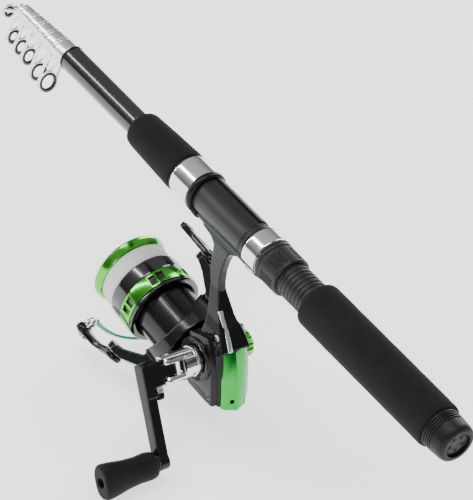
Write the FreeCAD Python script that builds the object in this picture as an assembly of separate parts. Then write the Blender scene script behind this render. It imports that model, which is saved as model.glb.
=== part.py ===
"""Telescopic fishing rod, closed, with a front-drag spinning reel on its seat.

Millimetres.  The rod's axis is +Y towards the tip, +Z is up, and the reel hangs below.
The origin is on the rod's axis at the middle of the rear grip.
"""
import FreeCAD, Part
import math
import os

V = FreeCAD.Vector
X_AXIS = V(1, 0, 0)
Y_AXIS = V(0, 1, 0)
Z_AXIS = V(0, 0, 1)
ORIGIN = V(0, 0, 0)

# --- rod: stations along Y and radii ------------------------------------------------------
CAP_REAR = -71.0
GRIP_END = 55.0
GRIP_R = 14.0
NUT_REAR, NUT_FRONT = 78.0, 96.0
HOOD_REAR, HOOD_FRONT = 96.3, 108.5
LIP_REAR, LIP_FRONT = 157.5, 166.0
SEAT_R = 10.75
THREAD_ROOT_R = 9.9
THREAD_PITCH = 3.0
RAIL_R = 12.0
RAIL_SPAN, RAIL_START = 58.0, 17.4
RING_FRONT = 178.0
FOREGRIP_FRONT = 223.0
BLANK_REAR, BLANK_FRONT = -66.5, 293.8
BLANK_R = 7.65
BLANK_WALL = 0.8
BAND_REAR = 292.0

# --- nested sections: radius step, wall and collar lengths --------------------------------
SECTION_R = 6.6
SECTION_STEP = 0.65
SECTION_WALL = 0.4
SECTION_REAR = -62.0
COLLAR_LENGTHS = (10.3, 9.5, 9.0, 8.6, 9.4, 4.6)
COLLAR_WALL = 0.55
STOP_GAP = 0.3
GUIDE_TILT = 12.0
# ring centre Y, ring centre Z and outer radius of each guide, butt guide first, tip-top last
GUIDES = ((311.0, -29.9, 6.9), (321.0, -29.4, 6.3), (331.5, -25.6, 5.9), (340.0, -24.8, 5.6),
          (348.4, -22.9, 5.2), (356.5, -10.0, 4.3))
TIP_TOP = 5
TIP_BORE_R = 1.5
INSERT_R = 1.0
HOLDER_WALL = 0.95
LEG_R = 0.65
LEG_SETBACK = 2.0
LEG_HOLD_UP = 1.5

# --- reel: axes ---------------------------------------------------------------------------
SPOOL_POINT = V(0, 178.0, -96.8)
SPOOL_TILT = math.radians(4.7)
ROTOR_ROLL = math.radians(46.6)
DRIVE_Y, DRIVE_Z = 125.5, -90.7
CASE_HALF = 13.5
COVER_FACE = -14.6
CRANK_DIR = V(0, -0.544, -0.839)
CRANK_SIDE = V(0, 0.839, -0.544)
CRANK_LENGTH = 49.5
PIN_X = -33.0
FORK_ROOT_X = -25.8
FORK_R = 5.8
BUTTON_X = -42.2

SPOOL_DIR = V(0, math.cos(SPOOL_TILT), math.sin(SPOOL_TILT))
SPOOL_UP = V(0, -math.sin(SPOOL_TILT), math.cos(SPOOL_TILT))
PIVOT_DIR = X_AXIS * math.cos(ROTOR_ROLL) + SPOOL_UP * math.sin(ROTOR_ROLL)
WIRE_DIR = X_AXIS * math.sin(ROTOR_ROLL) - SPOOL_UP * math.cos(ROTOR_ROLL)
PIVOT_X = 35.0
DRIVE = V(0, DRIVE_Y, DRIVE_Z)
CASE_CAVITY_FRONT = -38.4
BACK_WALL = 1.9
FOOT_HALF = 5.5


def cyl(start, direction, radius, length):
    return Part.makeCylinder(radius, length, start, direction)


def ring(start, direction, outer, inner, length):
    return cyl(start, direction, outer, length).cut(cyl(start, direction, inner, length))


def rod_point(y):
    return V(0, y, 0)


def lathe(profile):
    """Turn a closed outline of (radius, y) points about the rod's axis."""
    wire = Part.makePolygon([V(r, y, 0) for r, y in profile + profile[:1]])
    return Part.Face(wire).revolve(ORIGIN, Y_AXIS, 360)


def spool_lathe(profile):
    """Turn a closed outline of (radius, z) points about the spool's own axis."""
    wire = Part.makePolygon([V(r, 0, z) for r, z in profile + profile[:1]])
    return Part.Face(wire).revolve(ORIGIN, Z_AXIS, 360)


def spool_place(shape):
    """Move a shape from the rotor's frame (x pivots, y wire side, z forward) to the row's."""
    p, w, s, c = PIVOT_DIR, WIRE_DIR, SPOOL_DIR, SPOOL_POINT
    matrix = FreeCAD.Matrix(p.x, w.x, s.x, c.x, p.y, w.y, s.y, c.y, p.z, w.z, s.z, c.z, 0, 0, 0, 1)
    placed = shape.copy()
    placed.Placement = FreeCAD.Placement(matrix).multiply(shape.Placement)
    return placed


def prism_yz(points, x_low, x_high):
    wire = Part.makePolygon([V(x_low, y, z) for y, z in points + points[:1]])
    return Part.Face(wire).extrude(V(x_high - x_low, 0, 0))


def prism_xz(points, y_low, y_high):
    wire = Part.makePolygon([V(x, y_low, z) for x, z in points + points[:1]])
    return Part.Face(wire).extrude(V(0, y_high - y_low, 0))


def bar(p, q, radius):
    """A round wire from p to q."""
    return cyl(p, q - p, radius, (q - p).Length)


def joined(shapes):
    return shapes[0].multiFuse(shapes[1:]).removeSplitter()


def save(shape, node):
    solids = shape.Solids
    result = solids[0] if len(solids) == 1 else Part.makeCompound(solids)
    result.exportStep("parts/" + node + ".step")


# --- rod handle ---------------------------------------------------------------------------
def make_butt_cap():
    cap = lathe([(BLANK_R, CAP_REAR), (9.2, CAP_REAR), (11.0, -70.4), (11.9, -68.5), (12.5, -55.0),
                 (BLANK_R, -55.0)])
    grooves = [ring(rod_point(y), Y_AXIS, 14.0, 11.7, 0.7) for y in (-61.9, -60.3, -58.7, -57.1)]
    return cap.cut(Part.makeCompound(grooves))


def make_butt_plug():
    plug = lathe([(0, -69.4), (7.6, -69.4), (7.6, -66.6), (6.5, -66.6), (6.5, -63.5), (0, -63.5)])
    pips = []
    for i in range(5):
        angle = math.radians(72 * i + 90)
        centre = V(4.6 * math.cos(angle), -70.0, 4.6 * math.sin(angle))
        pips.append(ring(centre, Y_AXIS, 1.1, 0.6, 0.9))
    return joined([plug] + pips)


def make_rear_grip():
    r = GRIP_R
    end = GRIP_END
    return lathe([(BLANK_R, -end), (r - 1.8, -end), (r - 0.5, 0.8 - end), (r, 2.6 - end), (r, end - 2.6),
                  (r - 0.5, end - 0.8), (r - 1.8, end), (BLANK_R, end)])


def make_reel_seat():
    outline = [(BLANK_R, GRIP_END), (THREAD_ROOT_R, GRIP_END)]
    y = GRIP_END + 1.0
    while y < HOOD_REAR - THREAD_PITCH:
        outline += [(THREAD_ROOT_R, y), (10.6, y + 0.6), (10.6, y + 1.6), (THREAD_ROOT_R, y + 2.2)]
        y += THREAD_PITCH
    outline += [(10.6, HOOD_REAR), (10.6, HOOD_FRONT), (SEAT_R, HOOD_FRONT + 0.4), (SEAT_R, 110.0),
                (SEAT_R + 0.35, 110.3), (SEAT_R + 0.35, 111.3), (SEAT_R, 111.6), (SEAT_R, 113.2),
                (SEAT_R + 0.35, 113.5), (SEAT_R + 0.35, 114.5), (SEAT_R, 114.8),
                (SEAT_R, LIP_REAR), (9.6, LIP_REAR), (9.6, LIP_FRONT), (BLANK_R, LIP_FRONT)]
    rail = Part.makeCylinder(RAIL_R, LIP_REAR - 115.4, rod_point(115.4), Y_AXIS, RAIL_SPAN)
    rail.rotate(ORIGIN, Y_AXIS, RAIL_START)
    return lathe(outline).fuse(rail.cut(cyl(rod_point(110), Y_AXIS, 9.0, 60)))


def make_seat_nut():
    nut = lathe([(10.85, NUT_REAR), (11.6, NUT_REAR), (12.25, NUT_REAR + 0.9), (12.25, 92.8),
                 (12.7, 93.4), (12.7, 95.4), (12.2, NUT_FRONT), (10.85, NUT_FRONT)])
    cuts = []
    for group in range(6):
        for i in range(4):
            angle = math.radians(60 * group + 8.5 * i)
            place = V(12.5 * math.cos(angle), NUT_REAR + 2.0, 12.5 * math.sin(angle))
            cuts.append(cyl(place, Y_AXIS, 0.62, 9.6))
    return nut.cut(Part.makeCompound(cuts))


def foot_bulge(y_low, y_high, half_width, depth):
    """The swelling under a hood that holds one end of the reel's foot."""
    w, d = half_width, depth
    return prism_xz([(-w, 0), (-w, -d + 4.5), (-w + 1.6, -d + 1.4), (-w + 4.5, -d), (w - 4.5, -d),
                     (w - 1.6, -d + 1.4), (w, -d + 4.5), (w, 0)], y_low, y_high)


def foot_outline(gap, bottom=14.8):
    """The foot's cross-section under a hood, grown by gap, as (X, Z)."""
    side, chamfer = FOOT_HALF + gap, 12.8
    return [(-side, -9.0), (-side, -chamfer), (-side + 2.2, -bottom - gap), (side - 2.2, -bottom - gap),
            (side, -chamfer), (side, -9.0)]


def make_rear_hood():
    hood = joined([lathe([(0, HOOD_REAR), (12.2, HOOD_REAR), (12.7, 97.0), (12.7, HOOD_FRONT),
                          (0, HOOD_FRONT)]),
                   foot_bulge(98.0, HOOD_FRONT, 7.2, 16.2)])
    pocket = prism_xz(foot_outline(0.4), 99.0, HOOD_FRONT)
    return hood.cut(cyl(rod_point(90), Y_AXIS, 10.95, 25)).cut(pocket)


def make_front_hood():
    hood = joined([lathe([(9.6, LIP_REAR), (12.9, LIP_REAR), (13.25, 158.4), (13.25, 164.6),
                          (12.6, LIP_FRONT), (9.6, LIP_FRONT)]),
                   foot_bulge(LIP_REAR, LIP_FRONT, 7.2, 16.4).cut(
                       cyl(rod_point(150), Y_AXIS, 11.0, 20))])
    pocket = prism_xz(foot_outline(0.4), LIP_REAR, 163.4)
    pocket = pocket.cut(cyl(rod_point(150), Y_AXIS, 9.6, 20))
    return hood.cut(pocket)


def make_front_ring():
    return lathe([(BLANK_R, LIP_FRONT), (12.3, LIP_FRONT), (12.7, 166.6), (12.7, 177.2),
                  (12.1, RING_FRONT), (BLANK_R, RING_FRONT)])


def make_foregrip():
    return lathe([(BLANK_R, RING_FRONT), (11.6, RING_FRONT), (12.8, 179.0), (13.0, 181.5),
                  (12.3, 200.0), (11.3, 219.5), (10.6, 221.8), (9.4, FOREGRIP_FRONT),
                  (BLANK_R, FOREGRIP_FRONT)])


def make_blank():
    inner = BLANK_R - BLANK_WALL
    return lathe([(inner, BLANK_REAR), (BLANK_R, BLANK_REAR), (BLANK_R, BAND_REAR),
                  (BLANK_R + 0.3, BAND_REAR + 0.2), (BLANK_R + 0.3, BLANK_FRONT - 0.3),
                  (BLANK_R, BLANK_FRONT), (inner, BLANK_FRONT)])


# --- nested sections and their guides -----------------------------------------------------
def collar_spans():
    """Rear and front Y of the collar on each moving section."""
    spans = []
    y = BLANK_FRONT + STOP_GAP
    for length in COLLAR_LENGTHS:
        spans.append((y, y + length))
        y += length + STOP_GAP
    return spans


def section_radius(i):
    return SECTION_R - SECTION_STEP * i


def make_section(i, collar_front):
    r = section_radius(i)
    rear = SECTION_REAR + 1.0 * i
    if i < 4:
        return ring(rod_point(rear), Y_AXIS, r, r - SECTION_WALL, collar_front - rear)
    tip = collar_front + COLLAR_LENGTHS[TIP_TOP] + STOP_GAP
    return lathe([(0, rear), (r, rear), (r, collar_front), (TIP_BORE_R, collar_front + 0.2),
                  (TIP_BORE_R, tip), (0.9, tip + 0.4), (0, tip + 0.4)])


def guide_plane(y, z):
    tilt = math.radians(GUIDE_TILT)
    return V(0, y, z), V(0, math.cos(tilt), -math.sin(tilt)), V(0, math.sin(tilt), math.cos(tilt))


def make_collar(i, rear, front):
    inner = section_radius(i) if i < TIP_TOP else TIP_BORE_R
    return ring(rod_point(rear), Y_AXIS, inner + COLLAR_WALL, inner, front - rear)


def make_guide_frame(i, rear, front):
    y, z, ring_r = GUIDES[i]
    centre, normal, up = guide_plane(y, z)
    bore_r = section_radius(i) if i < TIP_TOP else TIP_BORE_R
    start_r = bore_r + COLLAR_WALL / 2
    holder = ring(centre - normal * 0.6, normal, ring_r, ring_r - HOLDER_WALL, 1.2)
    frame = make_collar(i, rear, front).fuse(holder)
    for side in (-1, 1):
        root = V(side * start_r * 0.8, front - LEG_SETBACK, -start_r * 0.6)
        hold = centre + X_AXIS * side * (ring_r - 0.45) + up * LEG_HOLD_UP
        frame = frame.fuse(bar(root, hold, LEG_R))
    if i < TIP_TOP:
        brace_root = V(0, front - LEG_SETBACK - 0.8, -start_r)
        frame = frame.fuse(bar(brace_root, centre + up * (ring_r - 0.4), LEG_R * 0.8))
    frame = frame.cut(cyl(rod_point(rear - 5), Y_AXIS, bore_r, front - rear + 10))
    return frame.cut(cyl(centre - normal * 4, normal, ring_r - HOLDER_WALL, 8))


def make_guide_ring(i):
    y, z, ring_r = GUIDES[i]
    centre, normal, _ = guide_plane(y, z)
    return Part.makeTorus(ring_r - HOLDER_WALL - INSERT_R, INSERT_R, centre, normal)


# --- reel body ----------------------------------------------------------------------------
CASE_OUTLINE = [(115.0, -68.0), (126.0, -73.5), (135.0, -77.2), (140.2, -83.5), (141.8, -91.0),
                (139.5, -99.5), (134.0, -106.5), (128.0, -110.8), (112.0, -111.4), (104.5, -111.0),
                (97.0, -114.0), (97.0, -90.0)]
CAVITY_OUTLINE = [(113.5, -76.5), (125.5, -76.1), (134.0, -79.5), (139.9, -86.0), (140.0, -95.5),
                  (132.0, -105.0), (127.0, -108.0), (109.0, -107.8), (107.4, -103.0), (108.2, -92.0),
                  (111.5, -81.0)]
COVER_OUTLINE = [(116.6, -70.3), (126.0, -73.5), (135.0, -77.2), (140.2, -83.5), (141.8, -91.0),
                 (139.5, -99.5), (134.0, -106.5), (128.0, -110.8), (112.0, -111.4), (105.2, -111.0),
                 (105.4, -104.7), (107.2, -91.5), (111.8, -77.6)]
REAR_OUTLINE = [(111.6, -77.6), (107.0, -91.5), (105.2, -104.7), (105.0, -112.0), (97.0, -114.4),
                (97.0, -77.6)]
# The ridge down the back of the case, as (Z, Y), and its plan on each side, as (X, Y behind the ridge).
RIDGE = ((-60.0, 122.0), (-66.0, 117.5), (-78.4, 109.2), (-92.0, 103.6), (-99.1, 101.6), (-113.3, 98.65),
         (-120.0, 97.3))
NEAR_PLAN = ((-15.0, 8.1), (-7.0, 2.2), (0.0, 0.0))
FAR_PLAN = ((7.0, 2.2), (15.0, 9.9))


def back_limit():
    """Everything in front of the ridged back, which narrows to the rear."""
    wires = []
    for z, ridge_y in RIDGE:
        points = [V(x, ridge_y + dy, z) for x, dy in NEAR_PLAN + FAR_PLAN]
        points += [V(15.0, 200.0, z), V(-15.0, 200.0, z)]
        wires.append(Part.makePolygon(points + points[:1]))
    return Part.makeLoft(wires, True, True)


def front_limit():
    """Everything behind the rotor's skirt, and within its mouth."""
    behind = spool_lathe([(0, -140), (90, -140), (90, -41), (0, -41)])
    mouth = spool_lathe([(0, -41.5), (20.5, -41.5), (20.5, -35.8), (0, -35.8)])
    return spool_place(behind.fuse(mouth))


def make_stem():
    side = prism_yz([(152.0, -15.2), (144.8, -18.4), (142.2, -23.0), (142.2, -33.0), (141.4, -41.4),
                     (139.6, -47.4), (137.2, -53.0), (133.4, -64.0), (131.0, -70.0), (131.0, -80.0),
                     (112.0, -80.0), (109.0, -78.4), (117.0, -66.5), (121.8, -62.4), (126.0, -56.3),
                     (130.0, -48.8), (131.3, -43.9), (131.7, -36.0), (130.8, -29.1), (129.6, -24.0),
                     (126.5, -18.8), (121.0, -15.2)], -14, 14)
    front = prism_xz([(-5.2, -15.0), (-3.9, -18.5), (-2.9, -23.0), (-2.6, -30.0), (-2.6, -48.0),
                      (-4.6, -57.0), (-5.8, -64.0), (-8.5, -70.0), (-10.8, -80.0), (10.8, -80.0),
                      (8.5, -70.0), (5.8, -64.0), (4.6, -57.0), (2.6, -48.0), (2.6, -30.0),
                      (2.9, -23.0), (3.9, -18.5), (5.2, -15.0)], 90, 170)
    return side.common(front)


def make_foot():
    slab = prism_yz([(100.5, -10.4), (100.5, -12.6), (109.5, -14.2), (114.0, -15.8), (150.0, -15.8),
                     (156.0, -14.6), (162.8, -12.8), (162.8, -10.4)], -FOOT_HALF, FOOT_HALF)
    slab = slab.common(prism_xz(foot_outline(0.0, 15.8), 95.0, 170.0))
    return slab.cut(cyl(rod_point(90), Y_AXIS, 11.2, 90))


def make_reel_body():
    case = prism_yz(CASE_OUTLINE, -11.0, CASE_HALF)
    case = case.common(front_limit()).common(back_limit())
    nose = spool_place(spool_lathe([(0, -39.0), (14.5, -39.0), (14.5, -28.0), (0, -28.0)]))
    body = joined([case, make_stem(), make_foot(), nose])
    behind_wall = spool_place(spool_lathe([(0, -140), (90, -140), (90, CASE_CAVITY_FRONT),
                                           (0, CASE_CAVITY_FRONT)]))
    inner_limit = back_limit()
    inner_limit.translate(V(0, BACK_WALL, 0))
    cavity = prism_yz(CAVITY_OUTLINE, -11.0, 9.2).common(behind_wall).common(inner_limit)
    gear_room = cyl(V(3.6, DRIVE_Y, DRIVE_Z), X_AXIS, 14.5, 5.6)
    bearing_seat = cyl(V(9.0, DRIVE_Y, DRIVE_Z), X_AXIS, 6.02, 3.1)
    shaft_exit = cyl(V(9.0, DRIVE_Y, DRIVE_Z), X_AXIS, 4.3, 6.0)
    nose_bore = spool_place(spool_lathe([(0, -34.2), (13.02, -34.2), (13.02, -27.0), (0, -27.0)]))
    pinion_seat = spool_place(spool_lathe([(0, -37.4), (6.02, -37.4), (6.02, -34.0), (0, -34.0)]))
    pinion_exit = spool_place(spool_lathe([(0, -50), (4.6, -50), (4.6, -36), (0, -36)]))
    body = body.cut(Part.makeCompound([cavity]))
    for tool in (gear_room, bearing_seat, shaft_exit, nose_bore, pinion_seat, pinion_exit,
                 prism_yz(REAR_OUTLINE, -9.0, 9.0), prism_yz(COVER_OUTLINE, -16, -11.0),
                 screw_holes(1.3), rear_screw_hole(1.3), top_screw_seat(1.3)):
        body = body.cut(tool)
    return body.cut(make_stem_trim())


SCREW_POINTS = ((110.2, -107.2), (130.5, -107.2))
TOP_SCREW = V(-9.0, 117.6, -71.2)
HEAD_R = 2.1
HEAD_DEPTH = 1.3


def screw_holes(radius):
    return Part.makeCompound([cyl(V(-9.2, y, z), X_AXIS * -1, radius, 8.0) for y, z in SCREW_POINTS])


def top_screw_seat(radius):
    bore = cyl(TOP_SCREW, X_AXIS, radius, 4.0)
    return bore.fuse(cyl(TOP_SCREW - X_AXIS * 3, X_AXIS, HEAD_R + 0.05, HEAD_DEPTH + 3.05))


def rear_screw_hole(radius):
    return cyl(V(-3.0, 97.0, -107.4), Y_AXIS, radius, 9.5)


def make_side_cover():
    cover = prism_yz(COVER_OUTLINE, -13.6, -11.0).common(front_limit()).common(back_limit())
    boss = ring(V(-11.0, DRIVE_Y, DRIVE_Z), X_AXIS * -1, 13.4, 9.6, -COVER_FACE - 11.0)
    boss = boss.common(front_limit()).common(back_limit())
    hub = ring(V(-9.7, DRIVE_Y, DRIVE_Z), X_AXIS * -1, 8.2, 6.02, -COVER_FACE - 9.7)
    lip = ring(V(COVER_FACE + 0.7, DRIVE_Y, DRIVE_Z), X_AXIS * -1, 8.2, 4.3, 0.7)
    cover = cover.cut(cyl(V(-9.0, DRIVE_Y, DRIVE_Z), X_AXIS * -1, 6.02, 8.0))
    cover = joined([cover, boss, hub, lip])
    return cover.cut(screw_holes(1.3))


def make_rear_cover():
    shell = prism_yz(REAR_OUTLINE, -9.0, 9.0).common(back_limit())
    shell = shell.common(prism_yz(CASE_OUTLINE, -9.0, 9.0))
    return shell.cut(rear_screw_hole(1.3))


def make_stem_trim():
    strip = prism_yz([(124.6, -58.6), (121.8, -62.6), (117.0, -67.0), (112.3, -73.5), (109.6, -77.4),
                      (111.4, -77.4), (114.0, -74.2), (119.0, -68.2), (123.6, -63.6), (126.2, -59.4)],
                     -4.6, -2.2)
    return strip.common(joined([make_stem(), prism_yz(CASE_OUTLINE, -11.0, 11.0).common(back_limit())]))


def screw(start, direction, length):
    """A countersunk cross-head screw, with its head's top at start."""
    body = cyl(start, direction, HEAD_R, HEAD_DEPTH).fuse(cyl(start, direction, 1.25, length))
    slot = Part.makeBox(2.6, 0.5, 0.7, V(-1.3, -0.25, 0))
    cross = slot.fuse(Part.makeBox(0.5, 2.6, 0.7, V(-0.25, -1.3, 0)))
    cross.Placement = FreeCAD.Placement(start, FreeCAD.Rotation(Z_AXIS, direction))
    return body.cut(cross)


def make_housing_screws():
    screws = [screw(V(-14.9, y, z), X_AXIS, 5.6) for y, z in SCREW_POINTS]
    screws.append(screw(TOP_SCREW, X_AXIS, 3.8))
    return Part.makeCompound(screws)


# --- gear train and shafts ----------------------------------------------------------------
def gear_notches(centre, axis, radius, depth, count, width, length):
    """Radial slots round a wheel's rim, one between each pair of teeth."""
    tools = []
    turn = FreeCAD.Rotation(Z_AXIS, axis)
    for i in range(count):
        box = Part.makeBox(depth + 1, width, length, V(radius - depth, -width / 2, 0))
        box.rotate(ORIGIN, Z_AXIS, 360.0 * i / count)
        box.Placement = FreeCAD.Placement(centre, turn).multiply(box.Placement)
        tools.append(box)
    return Part.makeCompound(tools)


def make_drive_gear():
    at = lambda x: V(x, DRIVE_Y, DRIVE_Z)
    face = ring(at(4.3), X_AXIS, 14.0, 11.5, 1.2)
    face = face.cut(gear_notches(at(4.3), X_AXIS, 14.0, 2.6, 52, 0.8, 0.9))
    disc = cyl(at(5.4), X_AXIS, 14.0, 3.0)
    hub = cyl(at(3.0), X_AXIS, 5.2, 5.8)
    small = cyl(at(-9.4), X_AXIS, 5.6, 3.4)
    small = small.cut(gear_notches(at(-9.4), X_AXIS, 5.6, 1.1, 14, 1.2, 3.4))
    shaft = cyl(at(-14.9), X_AXIS, 3.5, 28.2)
    return joined([face, disc, hub, small, shaft])


def make_shaft_bearings():
    return Part.makeCompound([ring(V(x, DRIVE_Y, DRIVE_Z), X_AXIS, 6.0, 3.52, 3.0) for x in (-13.2, 9.0)])


def make_pinion():
    body = spool_lathe([(2.05, -47.5), (4.2, -47.5), (4.2, -41.5), (3.0, -41.5), (3.0, -19.2),
                        (2.05, -19.2)])
    return spool_place(body.cut(gear_notches(V(0, 0, -47.5), Z_AXIS, 4.2, 0.9, 10, 1.1, 6.0)))


def make_pinion_bearing():
    return spool_place(ring(V(0, 0, -37.3), Z_AXIS, 6.0, 3.05, 3.0))


def make_clutch():
    sleeve = ring(V(0, 0, -34.1), Z_AXIS, 13.0, 3.4, 5.6)
    rollers = []
    for i in range(8):
        sleeve_hole = cyl(V(8.4, 0, -34.2), Z_AXIS, 1.5, 4.0)
        sleeve_hole.rotate(ORIGIN, Z_AXIS, 45 * i)
        rollers.append(sleeve_hole)
    return spool_place(sleeve.cut(Part.makeCompound(rollers)))


SHAFT_REAR = -56.5


def make_main_shaft():
    shaft = spool_lathe([(0, SHAFT_REAR), (2.0, SHAFT_REAR), (2.0, 31.5), (0, 31.5)])
    return spool_place(shaft)


def make_slider():
    block = Part.makeBox(7.6, 8.0, 5.4, V(-4.8, -4.0, SHAFT_REAR + 0.3))
    block = block.cut(cyl(V(0, 0, SHAFT_REAR - 1.0), Z_AXIS, 2.0, 14))
    slot = Part.makeBox(1.6, 6.0, 3.0, V(-4.9, -3.0, SHAFT_REAR + 1.4))
    block = block.cut(slot)
    turn = FreeCAD.Rotation(Z_AXIS, math.degrees(ROTOR_ROLL))
    block.Placement = FreeCAD.Placement(ORIGIN, turn)
    return spool_place(Part.makeCompound([block]).Solids[0])


OSC_Y, OSC_Z = 114.8, -97.1
OSC_R = 6.4


def make_oscillation_gear():
    centre = V(-9.4, OSC_Y, OSC_Z)
    wheel = cyl(centre, X_AXIS, OSC_R, 3.2)
    wheel = wheel.cut(gear_notches(centre, X_AXIS, OSC_R, 1.1, 16, 1.2, 3.2))
    axle = cyl(V(-10.7, OSC_Y, OSC_Z), X_AXIS, 1.5, 4.9)
    peg = cyl(V(-6.4, OSC_Y + 3.4, OSC_Z), X_AXIS, 1.2, 0.9)
    return joined([wheel, axle, peg])


# --- rotor and bail -----------------------------------------------------------------------
YOKE_OUTLINE = ((22.6, -36.5), (23.8, -37.5), (31.0, -23.0), (37.2, -9.0), (38.0, 0.0), (34.0, 0.0),
                (31.5, -7.0), (25.5, -18.0), (22.6, -20.0))


def make_rotor():
    outer = ring(V(0, 0, -38.5), Z_AXIS, 24.2, 22.0, 20.5)
    for side in (-1, 1):
        outline = [V(side * x, -6.5, z) for x, z in YOKE_OUTLINE]
        arm = Part.Face(Part.makePolygon(outline + outline[:1])).extrude(V(0, 13.0, 0))
        outer = outer.fuse(arm).fuse(cyl(V(side * 34.0, 0, 0), X_AXIS * side, 6.2, 4.0))
    scoop = cyl(V(0, -40, -4.8), Y_AXIS, 26.2, 80).common(cyl(V(0, 0, -60), Z_AXIS, 30.4, 80))
    outer = outer.cut(scoop)
    drum = ring(V(0, 0, -34.5), Z_AXIS, 18.5, 16.7, 32.5)
    back = ring(V(0, 0, -34.5), Z_AXIS, 23.0, 16.7, 3.0)
    web = ring(V(0, 0, -26.6), Z_AXIS, 17.2, 3.02, 3.2)
    rotor = outer.fuse(back).fuse(drum).fuse(web)
    pivots = [cyl(V(side * 33.0, 0, 0), X_AXIS * side, 1.6, 9.0) for side in (-1, 1)]
    return spool_place(rotor.cut(Part.makeCompound(pivots)).removeSplitter())


def make_rotor_nut():
    points = [V(5.2 * math.cos(math.radians(60 * i)), 5.2 * math.sin(math.radians(60 * i)), -23.4)
              for i in range(7)]
    nut = Part.Face(Part.makePolygon(points)).extrude(V(0, 0, 4.0))
    return spool_place(nut.cut(cyl(V(0, 0, -24), Z_AXIS, 3.01, 6)))


ROLLER_Z = 25.0


def lever(side, x_in, thick, reach, root_r, tip_r, y_tip):
    """A bail lever: two round ends with tangent flats, lying in a plane across the pivots."""
    start = V(side * x_in, 0, 0)
    out = X_AXIS * side
    ends = [cyl(start, out, root_r, thick), cyl(V(side * x_in, y_tip, reach), out, tip_r, thick)]
    flat = [V(side * x_in, -root_r, 0), V(side * x_in, y_tip - tip_r, reach),
            V(side * x_in, y_tip + tip_r, reach), V(side * x_in, root_r, 0)]
    web = Part.Face(Part.makePolygon(flat + flat[:1])).extrude(out * thick)
    return joined(ends + [web])


def make_bail_arm():
    arm = lever(-1, 38.4, 3.6, 12.0, 6.3, 4.6, 0)
    head = lever(-1, 41.5, 4.0, ROLLER_Z, 4.4, 5.6, 0)
    arm = joined([arm, head])
    cone = Part.makeCone(2.9, 1.7, 2.4, V(-36.8, 0, ROLLER_Z), X_AXIS)
    spindle = cyl(V(-41.6, 0, ROLLER_Z), X_AXIS, 1.2, 6.0)
    arm = joined([arm, cone, spindle])
    return spool_place(arm.cut(cyl(V(-50, 0, 0), X_AXIS, 1.62, 20)))


def make_bail_ear():
    ear = lever(1, 38.4, 3.6, 24.0, 6.3, 4.6, 0)
    window = lever(1, 37.0, 7.0, 3.5, 1.5, 1.3, 0)
    window.translate(V(0, 0, 9.0))
    return spool_place(ear.cut(window).cut(cyl(V(36, 0, 0), X_AXIS, 1.62, 10)))


def make_bail_wire():
    start = V(-35.3, 2.4, ROLLER_Z - 0.3)
    top = V(1.6, 46.4, 8.0)
    end = V(40.0, 5.2, 15.0)
    arc = Part.Arc(start, top, end)
    path = Part.Wire([arc.toShape()])
    tangent = arc.tangent(arc.FirstParameter)[0]
    section = Part.Wire([Part.makeCircle(0.9, start, tangent)])
    tube = path.makePipeShell([section], True, True)
    tube = tube.fuse(Part.makeSphere(1.6, end)).fuse(Part.makeSphere(1.6, start))
    tube = tube.fuse(bar(end, V(40.0, 3.6, 15.0), 1.2)).fuse(bar(start, V(-35.6, 0.6, ROLLER_Z), 1.2))
    solid = tube.removeSplitter()
    return spool_place(solid.cut(lever(1, 38.4, 3.6, 24.0, 6.3, 4.6, 0)).cut(
        Part.makeCone(2.9, 1.7, 2.4, V(-36.8, 0, ROLLER_Z), X_AXIS)))


def make_line_roller():
    profile = [V(0, 1.3, 0), V(0, 3.3, 0), V(1.2, 3.6, 0), V(2.1, 3.0, 0), V(3.0, 3.6, 0),
               V(4.2, 3.3, 0), V(4.2, 1.3, 0)]
    face = Part.Face(Part.makePolygon(profile + profile[:1]))
    roller = face.revolve(ORIGIN, X_AXIS, 360)
    roller.translate(V(-41.2, 0, ROLLER_Z))
    return spool_place(roller)


def make_bail_screws():
    screws = [cyl(V(side * 33.6, 0, 0), X_AXIS * side, 1.55, 8.6) for side in (-1, 1)]
    heads = [cyl(V(side * (42.0 if side > 0 else 45.5), 0, 0), X_AXIS * side, 2.6, 0.9) for side in (-1, 1)]
    left = joined([screws[0], cyl(V(-42, 0, 0), X_AXIS * -1, 1.55, 3.6), heads[0]])
    right = joined([screws[1], heads[1]])
    return spool_place(Part.makeCompound([left, right]))


# --- spool and drag -----------------------------------------------------------------------
def make_spool():
    outline = [(2.03, -5.0), (6.0, -5.0), (6.0, 12.5), (19.3, 12.5), (19.3, -3.4), (21.8, -4.4),
               (23.4, -3.6), (23.4, -2.2), (22.0, -2.0), (22.0, 7.2), (23.2, 7.2), (23.4, 8.0),
               (23.4, 16.4), (22.6, 17.2), (17.0, 17.2), (17.0, 33.6), (16.0, 33.6), (13.6, 31.0),
               (13.6, 20.0), (2.03, 20.0)]
    return spool_place(spool_lathe(outline))


def make_spool_lip():
    return spool_place(spool_lathe([(16.0, 33.7), (17.1, 33.7), (17.1, 32.4), (20.5, 32.2),
                                    (23.2, 31.2), (23.8, 32.0), (23.7, 33.4), (22.0, 35.2),
                                    (17.0, 35.4), (14.2, 34.4), (14.2, 33.7)]))


def make_spool_ring():
    band = ring(V(0, 0, -1.9), Z_AXIS, 23.5, 22.02, 9.0)
    windows = []
    for i in range(6):
        for offset in (-7.0, 7.0):
            box = Part.makeBox(6, 4.4, 6.0, V(20.5, -2.2, -0.4))
            box.rotate(ORIGIN, Z_AXIS, 60 * i + offset)
            windows.append(box)
    return spool_place(band.cut(Part.makeCompound(windows)))


def make_line():
    return spool_place(spool_lathe([(17.05, 17.3), (21.3, 17.3), (21.9, 19.0), (21.9, 30.0),
                                    (21.3, 31.6), (17.05, 32.1)]))


def make_drag_washers():
    washers = [ring(V(0, 0, z), Z_AXIS, 12.6, 2.4, 1.0) for z in (20.1, 21.4, 22.7, 24.0, 25.3)]
    return spool_place(Part.makeCompound(washers))


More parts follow.
